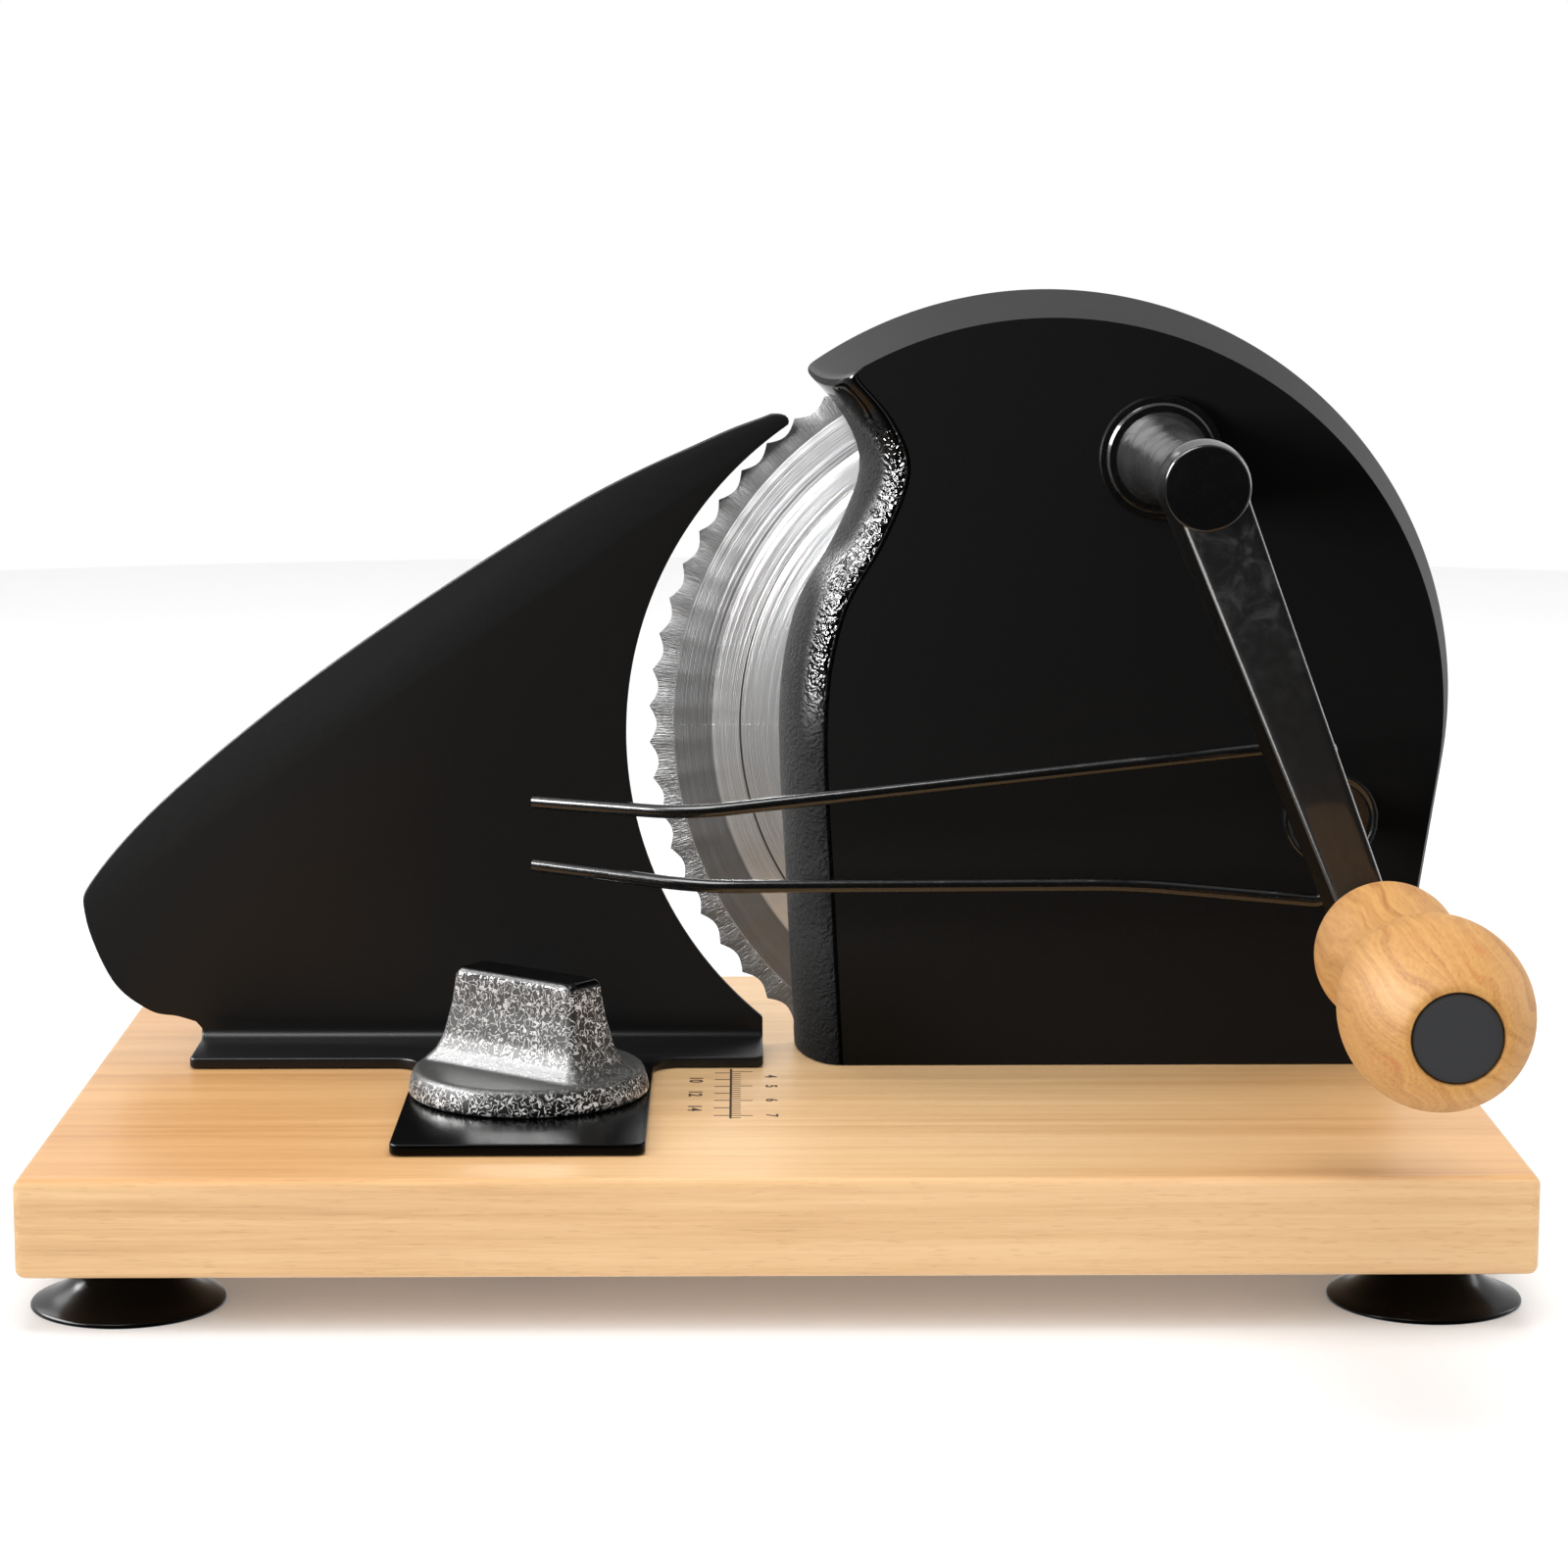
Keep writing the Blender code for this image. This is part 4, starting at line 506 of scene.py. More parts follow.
# %% [markdown]
# ## Turned beech
#
# The handle was turned from a square blank, so the flat layers of the wood are cut at every angle and
# show as flowing contour lines round its bulbs. Bands across the blank, bent by a slow noise, give
# those lines wherever the surface crosses them. The flecks are redder than in the board.


# %% Beech for the handle
def beech_handle():
    recipe = Recipe("turned_wood", 0.22)
    bent = recipe.noise(recipe.scaled((34, 13, 34), SPINDLE), 2.0, distortion=0.6)
    across, along, up = recipe.split(recipe.scaled(1, SPINDLE))
    depth = across * 0.8 + up * 0.6 + bent * 0.020 + along * 0.05
    layers = recipe.noise(recipe.vector(depth * 620, along * 7, up * 9), 4.0, 0.62)
    fibre = recipe.noise(recipe.scaled((1500, 60, 1500), SPINDLE), 3.0, 0.65)
    blush = recipe.noise(recipe.scaled((70, 26, 70), SPINDLE), 3.0, distortion=1.2)
    vein = recipe.noise(recipe.vector(depth * 900, along * 60, up * 70))
    stops = (
        (0.32, (0.35, 0.145, 0.036)),
        (0.45, (0.475, 0.228, 0.065)),
        (0.56, (0.545, 0.282, 0.085)),
        (0.72, (0.62, 0.350, 0.118)),
    )
    tone = layers * 0.62 + fibre * 0.38
    colour = recipe.node("ShaderNodeValToRGB", {"stops": stops}, {"Fac": tone})
    red = blush.step(0.54, 0.66) * vein.step(0.54, 0.66)
    colour = recipe.mix(red * 0.55, colour, (0.50, 0.16, 0.055))
    relief = recipe.bump(fibre, 0.07, recipe.bump(layers, 0.09))
    recipe.feed(base_color=colour, roughness=0.5 + fibre * 0.14, normal=relief)


beech_handle()
print("finishes", len(finishes))

# %% [markdown]
# ## Black finishes
#
# Four blacks stand side by side, and only their surfaces tell them apart. The case is cast and painted:
# its face is dull with a fine tooth, and its rolled lip is glossy over a wrinkled casting. The crank and
# the wires are glossy. The stop plate is powder coated. The rubber cups are smooth and wet-looking.


# %% Cast and painted case
def case_paint():
    """Dull paint. The mesh marks its lip and its rim, which are worn smoother."""
    recipe = Recipe("black_enamel_cast", 0.3)
    attributes = [{"attribute_name": name} for name in ("lip", "rim")]
    lip, rim = [recipe.node("ShaderNodeAttribute", settings, output="Fac") for settings in attributes]
    tooth = recipe.noise(2600)
    wrinkle = recipe.noise((420, 420, 500), 0.0, distortion=1.6)
    scratch = recipe.noise((90, 1400, 90), 3.0, 0.6)
    worn = lip.step(0.1, 0.6)
    sideways, backwards = recipe.facing()[:2]
    lit = (1 - sideways.off(-0.48).step(0.26, 0.40)) * recipe.rise(84, 112)
    flat = (0 - backwards).step(0.985, 0.998)
    metal = rim * 0.55 + worn * (1 - lit) * 0.6 + flat * 0.5
    rough = 0.42 + tooth * 0.06 + worn * (0.4 - lit * 0.77) + rim * (0.06 + scratch * 0.12)
    fine = recipe.bump(tooth * (1 - worn * 0.8), 0.03)
    cast = recipe.bump(wrinkle * worn * (1 - recipe.rise(166, 176)), 0.7, fine)
    scraped = rim * scratch.step(0.35, 0.75)
    colour = recipe.mix(scraped, (0.0011, 0.0011, 0.0012), (0.005, 0.005, 0.0053))
    recipe.feed(base_color=colour, roughness=rough, normal=cast, metallic=metal)


case_paint()
print("finishes", len(finishes))


# %% Gloss, powder coat, rubber and grey
def gloss_black(name, painted_sheen_grey, dull):
    """Enamel with a clear coat over a base as rough as dull. Its colour carries painted sheen: grey patches on the
    upper arm, as bright as the second argument, and a lighter painted highlight along the neck.
    """
    recipe = Recipe(name, 0.35, coat_roughness=0.08)
    dip = recipe.noise(95, distortion=0.5)
    peel = recipe.noise(620)
    cloud = recipe.noise(150, 4.0, 0.65, 0.8)
    sideways, _, upwards = recipe.facing()
    arm = low["crank_arm"].y
    behind = recipe.y.step(arm + 8 * MM, arm + 10 * MM)
    # Painted highlight: a lighter band of colour along the upper left of the neck, behind the arm.
    streak = (upwards * 0.75 - sideways * 0.66).step(0.84, 1.0) * behind
    flank = (0 - sideways).step(0.6, 0.75) * (1 - behind)
    grey = recipe.mix(streak, (painted_sheen_grey, painted_sheen_grey, painted_sheen_grey * 1.03), painted_sheen_grey * 9)
    # Painted sheen: grey patches mottle the upper part of the arm, but not its left flank.
    painted_sheen_patches = cloud.step(0.42, 0.72) * recipe.rise(-73, -29, high["crank_arm"].z) * (1 - flank)
    colour = recipe.mix(painted_sheen_patches + streak * 0.7, (0.0018, 0.0019, 0.0020), grey)
    relief = recipe.bump(peel, 0.012, recipe.bump(dip, 0.30))
    shiny = {"roughness": dull + peel * 0.12, "coat_weight": 0.8 - flank * 0.8}
    recipe.feed(base_color=colour, metallic=flank, normal=relief, **shiny)


def powder_coat():
    recipe = Recipe("black_sheet", 0.3, base_color=(0.0040, 0.0042, 0.0046, 1))
    grain = recipe.noise(2100, 3.0, 0.6)
    tongue = 1 - recipe.y.step(board_frame.y + 104 * MM, board_frame.y + 118 * MM)
    rough = 0.44 + grain * 0.12 - (1 - recipe.rise(4, 12)) * 0.14 - tongue * 0.14
    relief = recipe.bump(grain * (1 - tongue * 0.6), 0.035, recipe.bump(recipe.noise(30), 0.25))
    recipe.feed(roughness=rough, metallic=tongue * 0.85, normal=relief)


def plain_finish(name, scale, detail, rough, spread, relief, colours=None, **fixed):
    """One noise makes the relief and the roughness, and the colour between two."""
    recipe = Recipe(name, **fixed)
    fine = recipe.noise(scale, detail)
    recipe.feed(roughness=rough + fine * spread, normal=recipe.bump(fine, relief))
    if colours:
        recipe.feed(base_color=recipe.mix(fine, *colours))


gloss_black("black_enamel", 0.003, 0.2)
gloss_black("black_enamel_uneven", 0.028, 0.42)
powder_coat()
RUBBER_BLACK = (0.0006, 0.0006, 0.0007, 1)
CAP_GREY = (0.032, 0.033, 0.036, 1)
plain_finish("black_rubber", 160, 3.0, 0.16, 0.16, 0.05, shine=0.13, base_color=RUBBER_BLACK)
plain_finish("cap_grey", 2400, 2.0, 0.5, 0.15, 0.03, shine=0.4, base_color=CAP_GREY)
print("finishes", len(finishes))

# %% [markdown]
# ## Hammered silver
#
# The knob is painted black and then dusted with silver that breaks up into worm-like flecks about a
# millimetre long. A noise cut at its middle value gives such worms: the closer the two sides of the cut,
# the crisper they are. The base's flat top is smoother and greyer, and the top of the grip is worn dark.


# %% Silver speckle
def hammered_silver():
    recipe = Recipe("hammered_silver")
    fleck = 1 - recipe.noise(620, 1.0, 0.4, 1.0).off(0.5).step(0.030, 0.042)
    foot, top = low["clamp_knob"].z, high["clamp_knob"].z
    upwards = recipe.facing()[2]
    # Painted shade: faces turned upwards get a darker colour and less metal, because they catch more light.
    upper = upwards.step(0.15, 0.6)
    rim = 1 - recipe.rise(5.6, 6.8, foot)
    shelf = upwards.step(0.80, 0.95) * (1 - recipe.rise(8, 11, foot))
    crown = recipe.rise(-2.2, -1.0, top)
    shine = fleck * (1 - shelf * 0.85) * (1 - crown)
    between = recipe.mix(rim, (0.022, 0.021, 0.020), 0.002)
    base = recipe.mix(fleck, between, recipe.mix(rim, (0.66, 0.65, 0.64), (0.95, 0.94, 0.92)))
    grey = recipe.mix(recipe.noise(1900), (0.018, 0.018, 0.017), (0.055, 0.054, 0.053))
    colour = recipe.mix(upper * 0.8, base, (0.035, 0.034, 0.033))
    colour = recipe.mix(crown * 0.94, recipe.mix(shelf * 0.9, colour, grey), 0.004)
    metal = shine * 0.3 * (1 - upper) + crown * 0.9
    rough = 0.42 - shine * 0.15 - crown * 0.22
    recipe.feed(base_color=colour, roughness=rough, metallic=metal, normal=recipe.bump(shine, 0.1))


hammered_silver()
print("finishes", len(finishes))

# %% [markdown]
# ## Ground steel
#
# The blade is ground on a turning table, so its scratches are circles, and only its bevel is ground from
# the middle outwards. Scratches that run round come from a noise of the radius, and those of the bevel
# from a noise of the angle. The rings reflect differently because each was ground with another grit.

# %% Blade steel
BLADE_MIDDLE = Vector((AXLE.x, high["blade"].y, AXLE.z))
BLADE_RADIUS = (high["blade"].x - low["blade"].x) / 2
BEVEL_START = 100.2 * MM
SATIN_START = 89.6 * MM
GROOVE = 82.0 * MM


def ground_steel():
    recipe = Recipe("stainless", metallic=1.0)
    x, _, z = recipe.split(recipe.scaled(1, BLADE_MIDDLE))
    radius = (x * x + z * z).maths("SQRT")
    angle = z.maths("ARCTAN2", x)
    bevel = radius.step(BEVEL_START - 0.3 * MM, BEVEL_START + 0.3 * MM)
    satin = radius.step(SATIN_START - 0.4 * MM, SATIN_START + 0.4 * MM) * (1 - bevel)
    groove = 1 - radius.off(GROOVE).step(0.12 * MM, 0.38 * MM)
    rings = recipe.noise(recipe.vector(radius * 5200, angle * 0.6, 0.0), 1.0)
    coarse = recipe.noise(recipe.vector(radius * 900, angle * 1.6, 4.0), 3.0, 0.6)
    spokes = recipe.noise(recipe.vector(angle * 300, radius * 200, 8.0), 2.0, 0.7)
    cloud = recipe.noise(26, 3.0, distortion=0.8) * 0.4
    colour = recipe.mix(coarse * 0.6 + cloud, 0.74, 0.95)
    colour = recipe.mix(satin, colour, recipe.mix(rings * 0.6 + cloud, 0.14, 0.25))
    colour = recipe.mix(bevel, colour, recipe.mix(spokes, 0.05, 0.25))
    # Painted shade: the ring of the turned groove is coloured almost black.
    colour = recipe.mix(groove * 0.92, colour, 0.03)
    rough = 0.26 + rings * 0.1 + satin * 0.06 + bevel * 0.1
    relief = recipe.bump(spokes * bevel, 0.16, recipe.bump(rings * (1 - bevel), 0.10))
    recipe.feed(base_color=colour, roughness=rough, normal=relief)


def plated_steel():
    recipe = Recipe("zinc_steel", metallic=1.0)
    fine = recipe.noise(3000)
    colour = recipe.mix(recipe.noise(420, 3.0), (0.40, 0.41, 0.42), (0.58, 0.57, 0.55))
    recipe.feed(base_color=colour, roughness=0.28 + fine * 0.16, normal=recipe.bump(fine, 0.012))


ground_steel()
plated_steel()
BRASS = ((0.60, 0.40, 0.15), (0.78, 0.58, 0.28))
plain_finish("brass", (900, 2600, 900), 3.0, 0.26, 0.14, 0.015, BRASS, metallic=1.0)
print("finishes", list(finishes))

# %% [markdown]
# ## Finishes for the solids that stay
#
# The gears, the bearings and the screws are right as they were loaded. They only get a better finish in the
# slots they already have. Each piece that is modelled below gets the finish of the solid it stands for,
# unless it is given another, and is hung on its body.

# %% Dress the loaded solids
for name, node in frame["nodes"].items():
    for place in node.material_slots:
        place.material = finishes[slot_of[name]]
print("dressed", len(slot_of), "solids")


def settle(piece, name, body, *stands_for, slot=None, finish=None, angle=35):
    """Give a piece its name and finish, apply its place and hang it on its body."""
    pick(piece)
    bpy.ops.object.transform_apply(location=True, rotation=True, scale=True)
    bpy.ops.object.shade_smooth_by_angle(angle=math.radians(angle))
    slot = slot or slot_of[stands_for[0]]
    piece.name = piece.data.name = name
    piece.data.materials.clear()
    piece.data.materials.append(finishes[finish or slot])
    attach(piece, body)
    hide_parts(*stands_for)
    triangles = sum(len(face.vertices) - 2 for face in piece.data.polygons)
    print(name, "rides on", body, "with", triangles, "triangles")


# %% [markdown]
# ## Board
#
# The board is one plank with eased edges. On its top is the kerf that the blade dips into and the slot
# that the clamp slides in. Below are the clamp's groove and the holes for the case's screws. The edges
# are rounded before the cuts are made, because the cuts keep their sharp mouths.

# %% Saw the board
EASED_EDGE = 2.4
BLADE_ROOM = 1.2
SLOT_HALF = 4.4 * MM
SLOT_FRONT = KNOB.y - 18.4 * MM - SLOT_HALF
SLOT_REAR = board_frame.y + 130.2 * MM + SLOT_HALF
CLAMP_GROOVE = Vector((-13.0, -33.8, -1.0)) * MM, Vector((13.0, 17.6, 9.5)) * MM
HEAD_ROOM = 0.6
SCREW_HOLE = 2.2
CASE_SCREWS = ("case_screw_1", "case_screw_2", "case_screw_3")
below, above = low["board"].z - MM, high["board"].z + 2 * MM

board = brick(low["board"], high["board"])
soften(board, EASED_EDGE, segments=5)
kerf_front, kerf_rear = low["blade"].y - BLADE_ROOM * MM, high["blade"].y + BLADE_ROOM * MM
combine(board, rod(BLADE_RADIUS / MM + BLADE_ROOM, AXLE, kerf_front, kerf_rear, sides=256))
sides = (KNOB.x - SLOT_HALF, KNOB.x + SLOT_HALF)
outline = rounded(rectangle(*sides, SLOT_FRONT, SLOT_REAR, SLOT_HALF * 0.98))
combine(board, plate([(x, y, below) for x, y in outline], (0, 0, 40 * MM)))
underside = Vector((KNOB.x, KNOB.y, low["board"].z))
combine(board, brick(*[underside + corner for corner in CLAMP_GROOVE]))
for name in CASE_SCREWS:
    head_radius = (high[name].x - low[name].x) / 2 / MM + HEAD_ROOM
    combine(board, rod(head_radius, centre[name], below, centre["board"].z, "Z"))
    combine(board, rod(SCREW_HOLE, centre[name], below, above, "Z"))
settle(board, "board_plank", "base", "board", angle=25)

# %% [markdown]
# ## Suction cups
#
# Each cup is a turned skirt: a neck under the board that flares in a hollow curve to a thin flat lip.
# The profile is drawn once, as radii and shares of the cup's height, and turned in four places.

# %% Turn the cups
cup_height = high["suction_cup_front_left"].z / MM
cup_radius = (high["suction_cup_front_left"].x - low["suction_cup_front_left"].x) / 2 / MM
CUP_FLARE = (
    (11.9, 1.0), (12.1, 0.86), (12.9, 0.66), (15.0, 0.44), (18.6, 0.25), (22.4, 0.13),
    (cup_radius - 0.3, 0.085),
)
CUP_LIP = ((cup_radius, 0.05), (cup_radius, 0.02), (cup_radius - 0.3, 0.0))
CUP_HOLLOW = ((cup_radius - 1.5, 0.0), (18.0, 0.10), (12.0, 0.34), (5.8, 0.58), (2.4, 0.60))
shares = [*smooth_curve(CUP_FLARE, 5), *CUP_LIP, *smooth_curve(CUP_HOLLOW, 4), (2.4, 1.0), CUP_FLARE[0]]
profile = [(radius, share * cup_height) for radius, share in shares]
for corner in ("front_left", "front_right", "rear_left", "rear_right"):
    node = f"suction_cup_{corner}"
    settle(turned(profile, "Z", centre[node]), f"cup_{corner}", "base", node, angle=50)

# %% [markdown]
# ## Case
#
# The case is a casting with a drafted rim, so that it leaves its mould, and a rolled lip where the slice
# slides over its open edge. Its outline changes with the depth: the rim draws in a little while the lip
# rolls over by a quarter turn. No single operator makes that, so its sections are worked out at several
# depths, and faces join each section to the next. The same thing repeated a wall's thickness inside
# makes the hollow.

# %% Case values, in the board's millimetres
CASE_MIDDLE = Vector((73.5, 95.6))
CASE_RADIUS = 111.24
CASE_DEPTH = 30.0
CASE_DRAFT = 6.6
CASE_WALL = 2.4
CASE_FACE = 3.0
CASE_ROLL = 12.5
CASE_LEAN = 8.4
CASE_NOSE = 3.0
CASE_LIP = (
    (6.0, -4.0), (3.4, 45.0), (1.4, 93.0), (5.8, 121.5), (16.8, 142.0),
    (23.2, 160.0), (18.8, 173.2), (10.3, 183.4), (2.0, 192.5),
)
LIP_POINTS = 56
TOP_POINTS = 150
SIDE_POINTS = 24
SILL_POINTS = 40
case_rear = (high["case"].y - board_frame.y) / MM


# %% Case sections
def case_section(share, wall, floor):
    """The outline at one depth: up the lip, round the top, down the side and along the sill."""
    turn = math.radians(90 * share)
    radius = CASE_RADIUS - CASE_DRAFT * math.sin(turn) - wall
    shift = Vector((CASE_ROLL * (1 - math.cos(turn)) + wall, 0))
    lip = [point + shift for point in smooth_curve(CASE_LIP, 24)]
    kept = []
    for start, end in zip(lip, lip[1:]):
        if end.y < floor:
            continue
        if start.y < floor:
            start = start.lerp(end, (floor - start.y) / (end.y - start.y))
        kept.append(start)
        if end.y > CASE_MIDDLE.y and (end - CASE_MIDDLE).length > radius:
            inside = radius - (start - CASE_MIDDLE).length
            outside = (end - CASE_MIDDLE).length - radius
            kept.append(start.lerp(end, inside / (inside + outside)))
            break
    corner = kept[-1]
    lip = resample(kept, LIP_POINTS)
    before = lip[-1] + (lip[-2] - lip[-1]).normalized() * CASE_NOSE
    lip = [point for point in lip if (point - corner).length > CASE_NOSE]
    lip = resample(lip + [before], LIP_POINTS)
    tip = math.atan2(corner.y - CASE_MIDDLE.y, corner.x - CASE_MIDDLE.x) - CASE_NOSE / radius
    top = arc(CASE_MIDDLE, radius, math.degrees(tip), -CASE_LEAN, TOP_POINTS)
    nose = bend(before, corner, top[0], (0.2, 0.4, 0.6, 0.8))
    foot = Vector((top[-1].x - (top[-1].y - floor) * math.tan(math.radians(CASE_LEAN)), floor))
    side = [top[-1].lerp(foot, step / SIDE_POINTS) for step in range(1, SIDE_POINTS + 1)]
    sill = [foot.lerp(lip[0], step / SILL_POINTS) for step in range(1, SILL_POINTS)]
    return lip + nose + top + side + sill


# %% Cast the case
ROLL_STEPS = 14
EDGE_STEP = 0.012
shares = [step / ROLL_STEPS for step in range(ROLL_STEPS)] + [1 - EDGE_STEP * 3, 1]
shell = bmesh.new()
lip_mark = shell.verts.layers.float.new("lip")
rim_mark = shell.verts.layers.float.new("rim")


def add_section(share, wall, floor, depth, outside=False):
    """Add one section's vertices, and mark the outer ones on the lip and on the rim."""
    turn = math.sin(math.radians(90 * share))
    rim_start = LIP_POINTS + 2
    rim_end = rim_start + 2 + TOP_POINTS + SIDE_POINTS
    made = []
    for index, point in enumerate(case_section(share, wall, floor)):
        vert = shell.verts.new(on_board(point.x, case_rear - depth * turn, point.y))
        vert[lip_mark] = float(outside and index < rim_start)
        vert[rim_mark] = float(outside and rim_start <= index < rim_end and turn < 0.9999)
        made.append(vert)
    return made


def join_sections(near, far):
    """Fill the band between two sections with faces."""
    for index in range(len(near)):
        after = (index + 1) % len(near)
        shell.faces.new((near[index], near[after], far[after], far[index]))


loops = [add_section(share, 0.0, SEAT_GAP, CASE_DEPTH, True) for share in shares]
inside_size = (CASE_WALL, SEAT_GAP + CASE_WALL, CASE_DEPTH - CASE_FACE)
hollow = [add_section(share, *inside_size) for share in (1, 0.75, 0.5, 0.25, 0)]
for near, far in [*zip(loops, loops[1:]), *zip(hollow, hollow[1:]), (hollow[-1], loops[0])]:
    join_sections(near, far)
for inset in (0.5, 2.0):
    loops.append(add_section(1, inset, SEAT_GAP + inset, CASE_DEPTH))
    join_sections(loops[-2], loops[-1])
shell.faces.new(loops[-1])
shell.faces.new(hollow[0])
bmesh.ops.recalc_face_normals(shell, faces=shell.faces)
case_mesh = bpy.data.meshes.new("case_shell")
shell.to_mesh(case_mesh)
shell.free()
case = bpy.data.objects.new("case_shell", case_mesh)
bpy.context.collection.objects.link(case)
print("case sections", len(loops), "of", len(loops[0]), "points")

# %% Give the case its bosses, bores and blade way
inside = low["case"].y + CASE_FACE / 2 * MM
boss_end = high["crank_bush"].y
front = low["case"].y - MM
foot = board_frame.z + SEAT_GAP * MM
way_front = low["blade"].y - BLADE_ROOM * MM
PILLAR = (foot + 1.2 * MM, foot + 13.7 * MM, "Z")
PILLAR_HOLE = (foot - MM, foot + 11.6 * MM, "Z")
PILLAR_RADIUS = 5.5
WAY_GAP = 0.8
BOSSES = (
    (12.0, CRANK, inside, boss_end),
    (10.5, AXLE, inside, boss_end),
    (5.8, GUARD, inside, inside + 8.5 * MM),
)
BORES = (
    (9.3, CRANK, front, boss_end + MM),
    (6.8, AXLE, boss_end - 7.8 * MM, boss_end + MM),
    (3.3, GUARD, front, inside + 15.5 * MM),
)
for boss in BOSSES:
    combine(case, rod(*boss), "UNION")
for name in CASE_SCREWS:
    combine(case, rod(PILLAR_RADIUS, centre[name], *PILLAR), "UNION")
for bore in BORES:
    combine(case, rod(*bore))
for name in CASE_SCREWS:
    combine(case, rod(SCREW_HOLE, centre[name], *PILLAR_HOLE))
combine(case, rod(BLADE_RADIUS / MM + WAY_GAP, AXLE, way_front, high["case"].y + MM, sides=256))
settle(case, "case_shell", "base", "case", finish="black_enamel_cast", angle=24)

# %% [markdown]
# ## Blade
#
# The blade is a thin steel disc. Its edge is a row of shallow scallops that meet in points, so it bites
# into a crust without pressing. A circle is drawn where the ground bevel begins and extruded ring by
# ring: out to the edge, round to the back, in to the bore and out again past a fine turned groove. The
# circle has eight vertices for each scallop, and those between two points are then drawn inwards.

# %% Turn the blade
SCALLOPS = 67
SCALLOP_DEPTH = 2.1 * MM
PARTS = 8
BORE = 9.3 * MM
BLADE_SCREW_HOLE = 2.3
blade_rear, blade_front = high["blade"].y, low["blade"].y
RINGS = (
    (BLADE_RADIUS, blade_rear - 0.3 * MM),
    (BLADE_RADIUS, blade_rear),
    (BEVEL_START, blade_rear),
    (BORE, blade_rear),
    (BORE, blade_front),
    (GROOVE - 0.25 * MM, blade_front),
    (GROOVE, blade_front + 0.12 * MM),
    (GROOVE + 0.25 * MM, blade_front),
    (BEVEL_START, blade_front),
)
clear_hands()
bpy.ops.mesh.primitive_circle_add(
    vertices=SCALLOPS * PARTS,
    radius=BEVEL_START,
    location=(AXLE.x, blade_front, AXLE.z),
    rotation=(math.radians(90), 0, 0),
)
bpy.ops.object.mode_set(mode="EDIT")
bpy.ops.mesh.select_all(action="SELECT")


def draw_in(share, y):
    """Scale what is selected about the blade's axis."""
    bpy.ops.transform.resize(value=(share, 1, share), center_override=(AXLE.x, y, AXLE.z))


here = RINGS[-1]
for there in RINGS:
    bpy.ops.mesh.extrude_edges_move(TRANSFORM_OT_translate={"value": (0, there[1] - here[1], 0)})
    draw_in(there[0] / here[0], there[1])
    here = there
blade = close_up(0.001)


# %% Grind the scallops
def between_points(spot, part):
    """Whether a place on the edge is this many parts past a scallop's point."""
    reach = Vector((spot.x - AXLE.x, spot.z - AXLE.z))
    turn = math.atan2(reach.y, reach.x) / math.tau * SCALLOPS * PARTS
    return reach.length > (BEVEL_START + BLADE_RADIUS) / 2 and round(turn) % PARTS == part


for part in range(1, PARTS):
    pick_vertices(blade, lambda spot: between_points(spot, part))
    draw_in(1 - SCALLOP_DEPTH * math.sin(math.pi * part / PARTS) / BLADE_RADIUS, blade_rear)
bpy.ops.object.mode_set(mode="OBJECT")
BLADE_SCREWS = ("blade_screw_1", "blade_screw_2", "blade_screw_3")
for name in BLADE_SCREWS:
    combine(blade, rod(BLADE_SCREW_HOLE, centre[name], blade_front - MM, blade_rear + MM))
settle(blade, "blade_disc", "cutter", "blade", angle=15)

# %% [markdown]
# ## Crank bearing
#
# Where the crank's neck meets the case there is a stepped flange, turned with narrow rounded edges that
# catch a thin line of light.

# %% Turn the bush
bush_front = low["crank_bush"].y
flange = (high["case"].y - bush_front) / MM - CASE_DEPTH - SEAT_GAP
bush_rear = (boss_end - bush_front) / MM
BUSH = (
    (6.3, 0.0), (13.2, 0.0), (13.9, 0.15), (14.3, 0.6), (14.3, 1.4), (14.5, 1.6), (15.5, 1.6),
    (16.1, 1.8), (16.4, 2.4), (16.4, flange), (9.0, flange), (9.0, bush_rear), (6.3, bush_rear),
    (6.3, 0.0),
)
settle(turned(BUSH, "Y", CRANK, bush_front, 128), "crank_flange", "base", "crank_bush")

# %% [markdown]
# ## Crank
#
# The crank is one iron casting: a waisted neck and a flat tapering arm whose sides lean in towards the
# front, as a mould needs. Castings have no crisp edges, so the two parts are welded, rebuilt from small
# even cells with the Remesh modifier and smoothed. The holes are drilled afterwards, because drilled
# holes are crisp.

# %% Outline the arm
END_ROUND, END_LEFT, END_RIGHT = 9.3, 8.9, 6.4
TOP_ROUND, TOP_LEFT, TOP_RIGHT = 11.3, 10.9, 9.0
DRAFT = 1.6
SHIFT = 1.1
ARM_THICK = 8.0
ARM_SIDE = 3.0
CELL = 0.6
SHAFT_HOLE, SPINDLE_HOLE = 6.3, 4.3
down = Vector((SPINDLE.x - CRANK.x, SPINDLE.z - CRANK.z)) / MM
crank_reach = down.length
down.normalize()
across = Vector((-down.y, down.x))
heading = math.degrees(math.atan2(down.y, down.x))
lean_left, lean_right = [math.degrees(math.asin(half / END_ROUND)) for half in (END_LEFT, END_RIGHT)]
top_left, top_right = [math.degrees(math.acos(half / TOP_ROUND)) for half in (TOP_LEFT, TOP_RIGHT)]
waist = down * (crank_reach - END_ROUND * 1.3)
end = down * crank_reach
outline = [waist + across * END_RIGHT]
outline += arc(end, END_ROUND, heading + 180 - lean_right, heading - 180 + lean_left, 48)
outline += [waist - across * END_LEFT]
outline += arc((0, 0), TOP_ROUND, heading - 90 + top_left, heading - 270 - top_right, 48)
print("crank reach", round(crank_reach, 1), "mm")

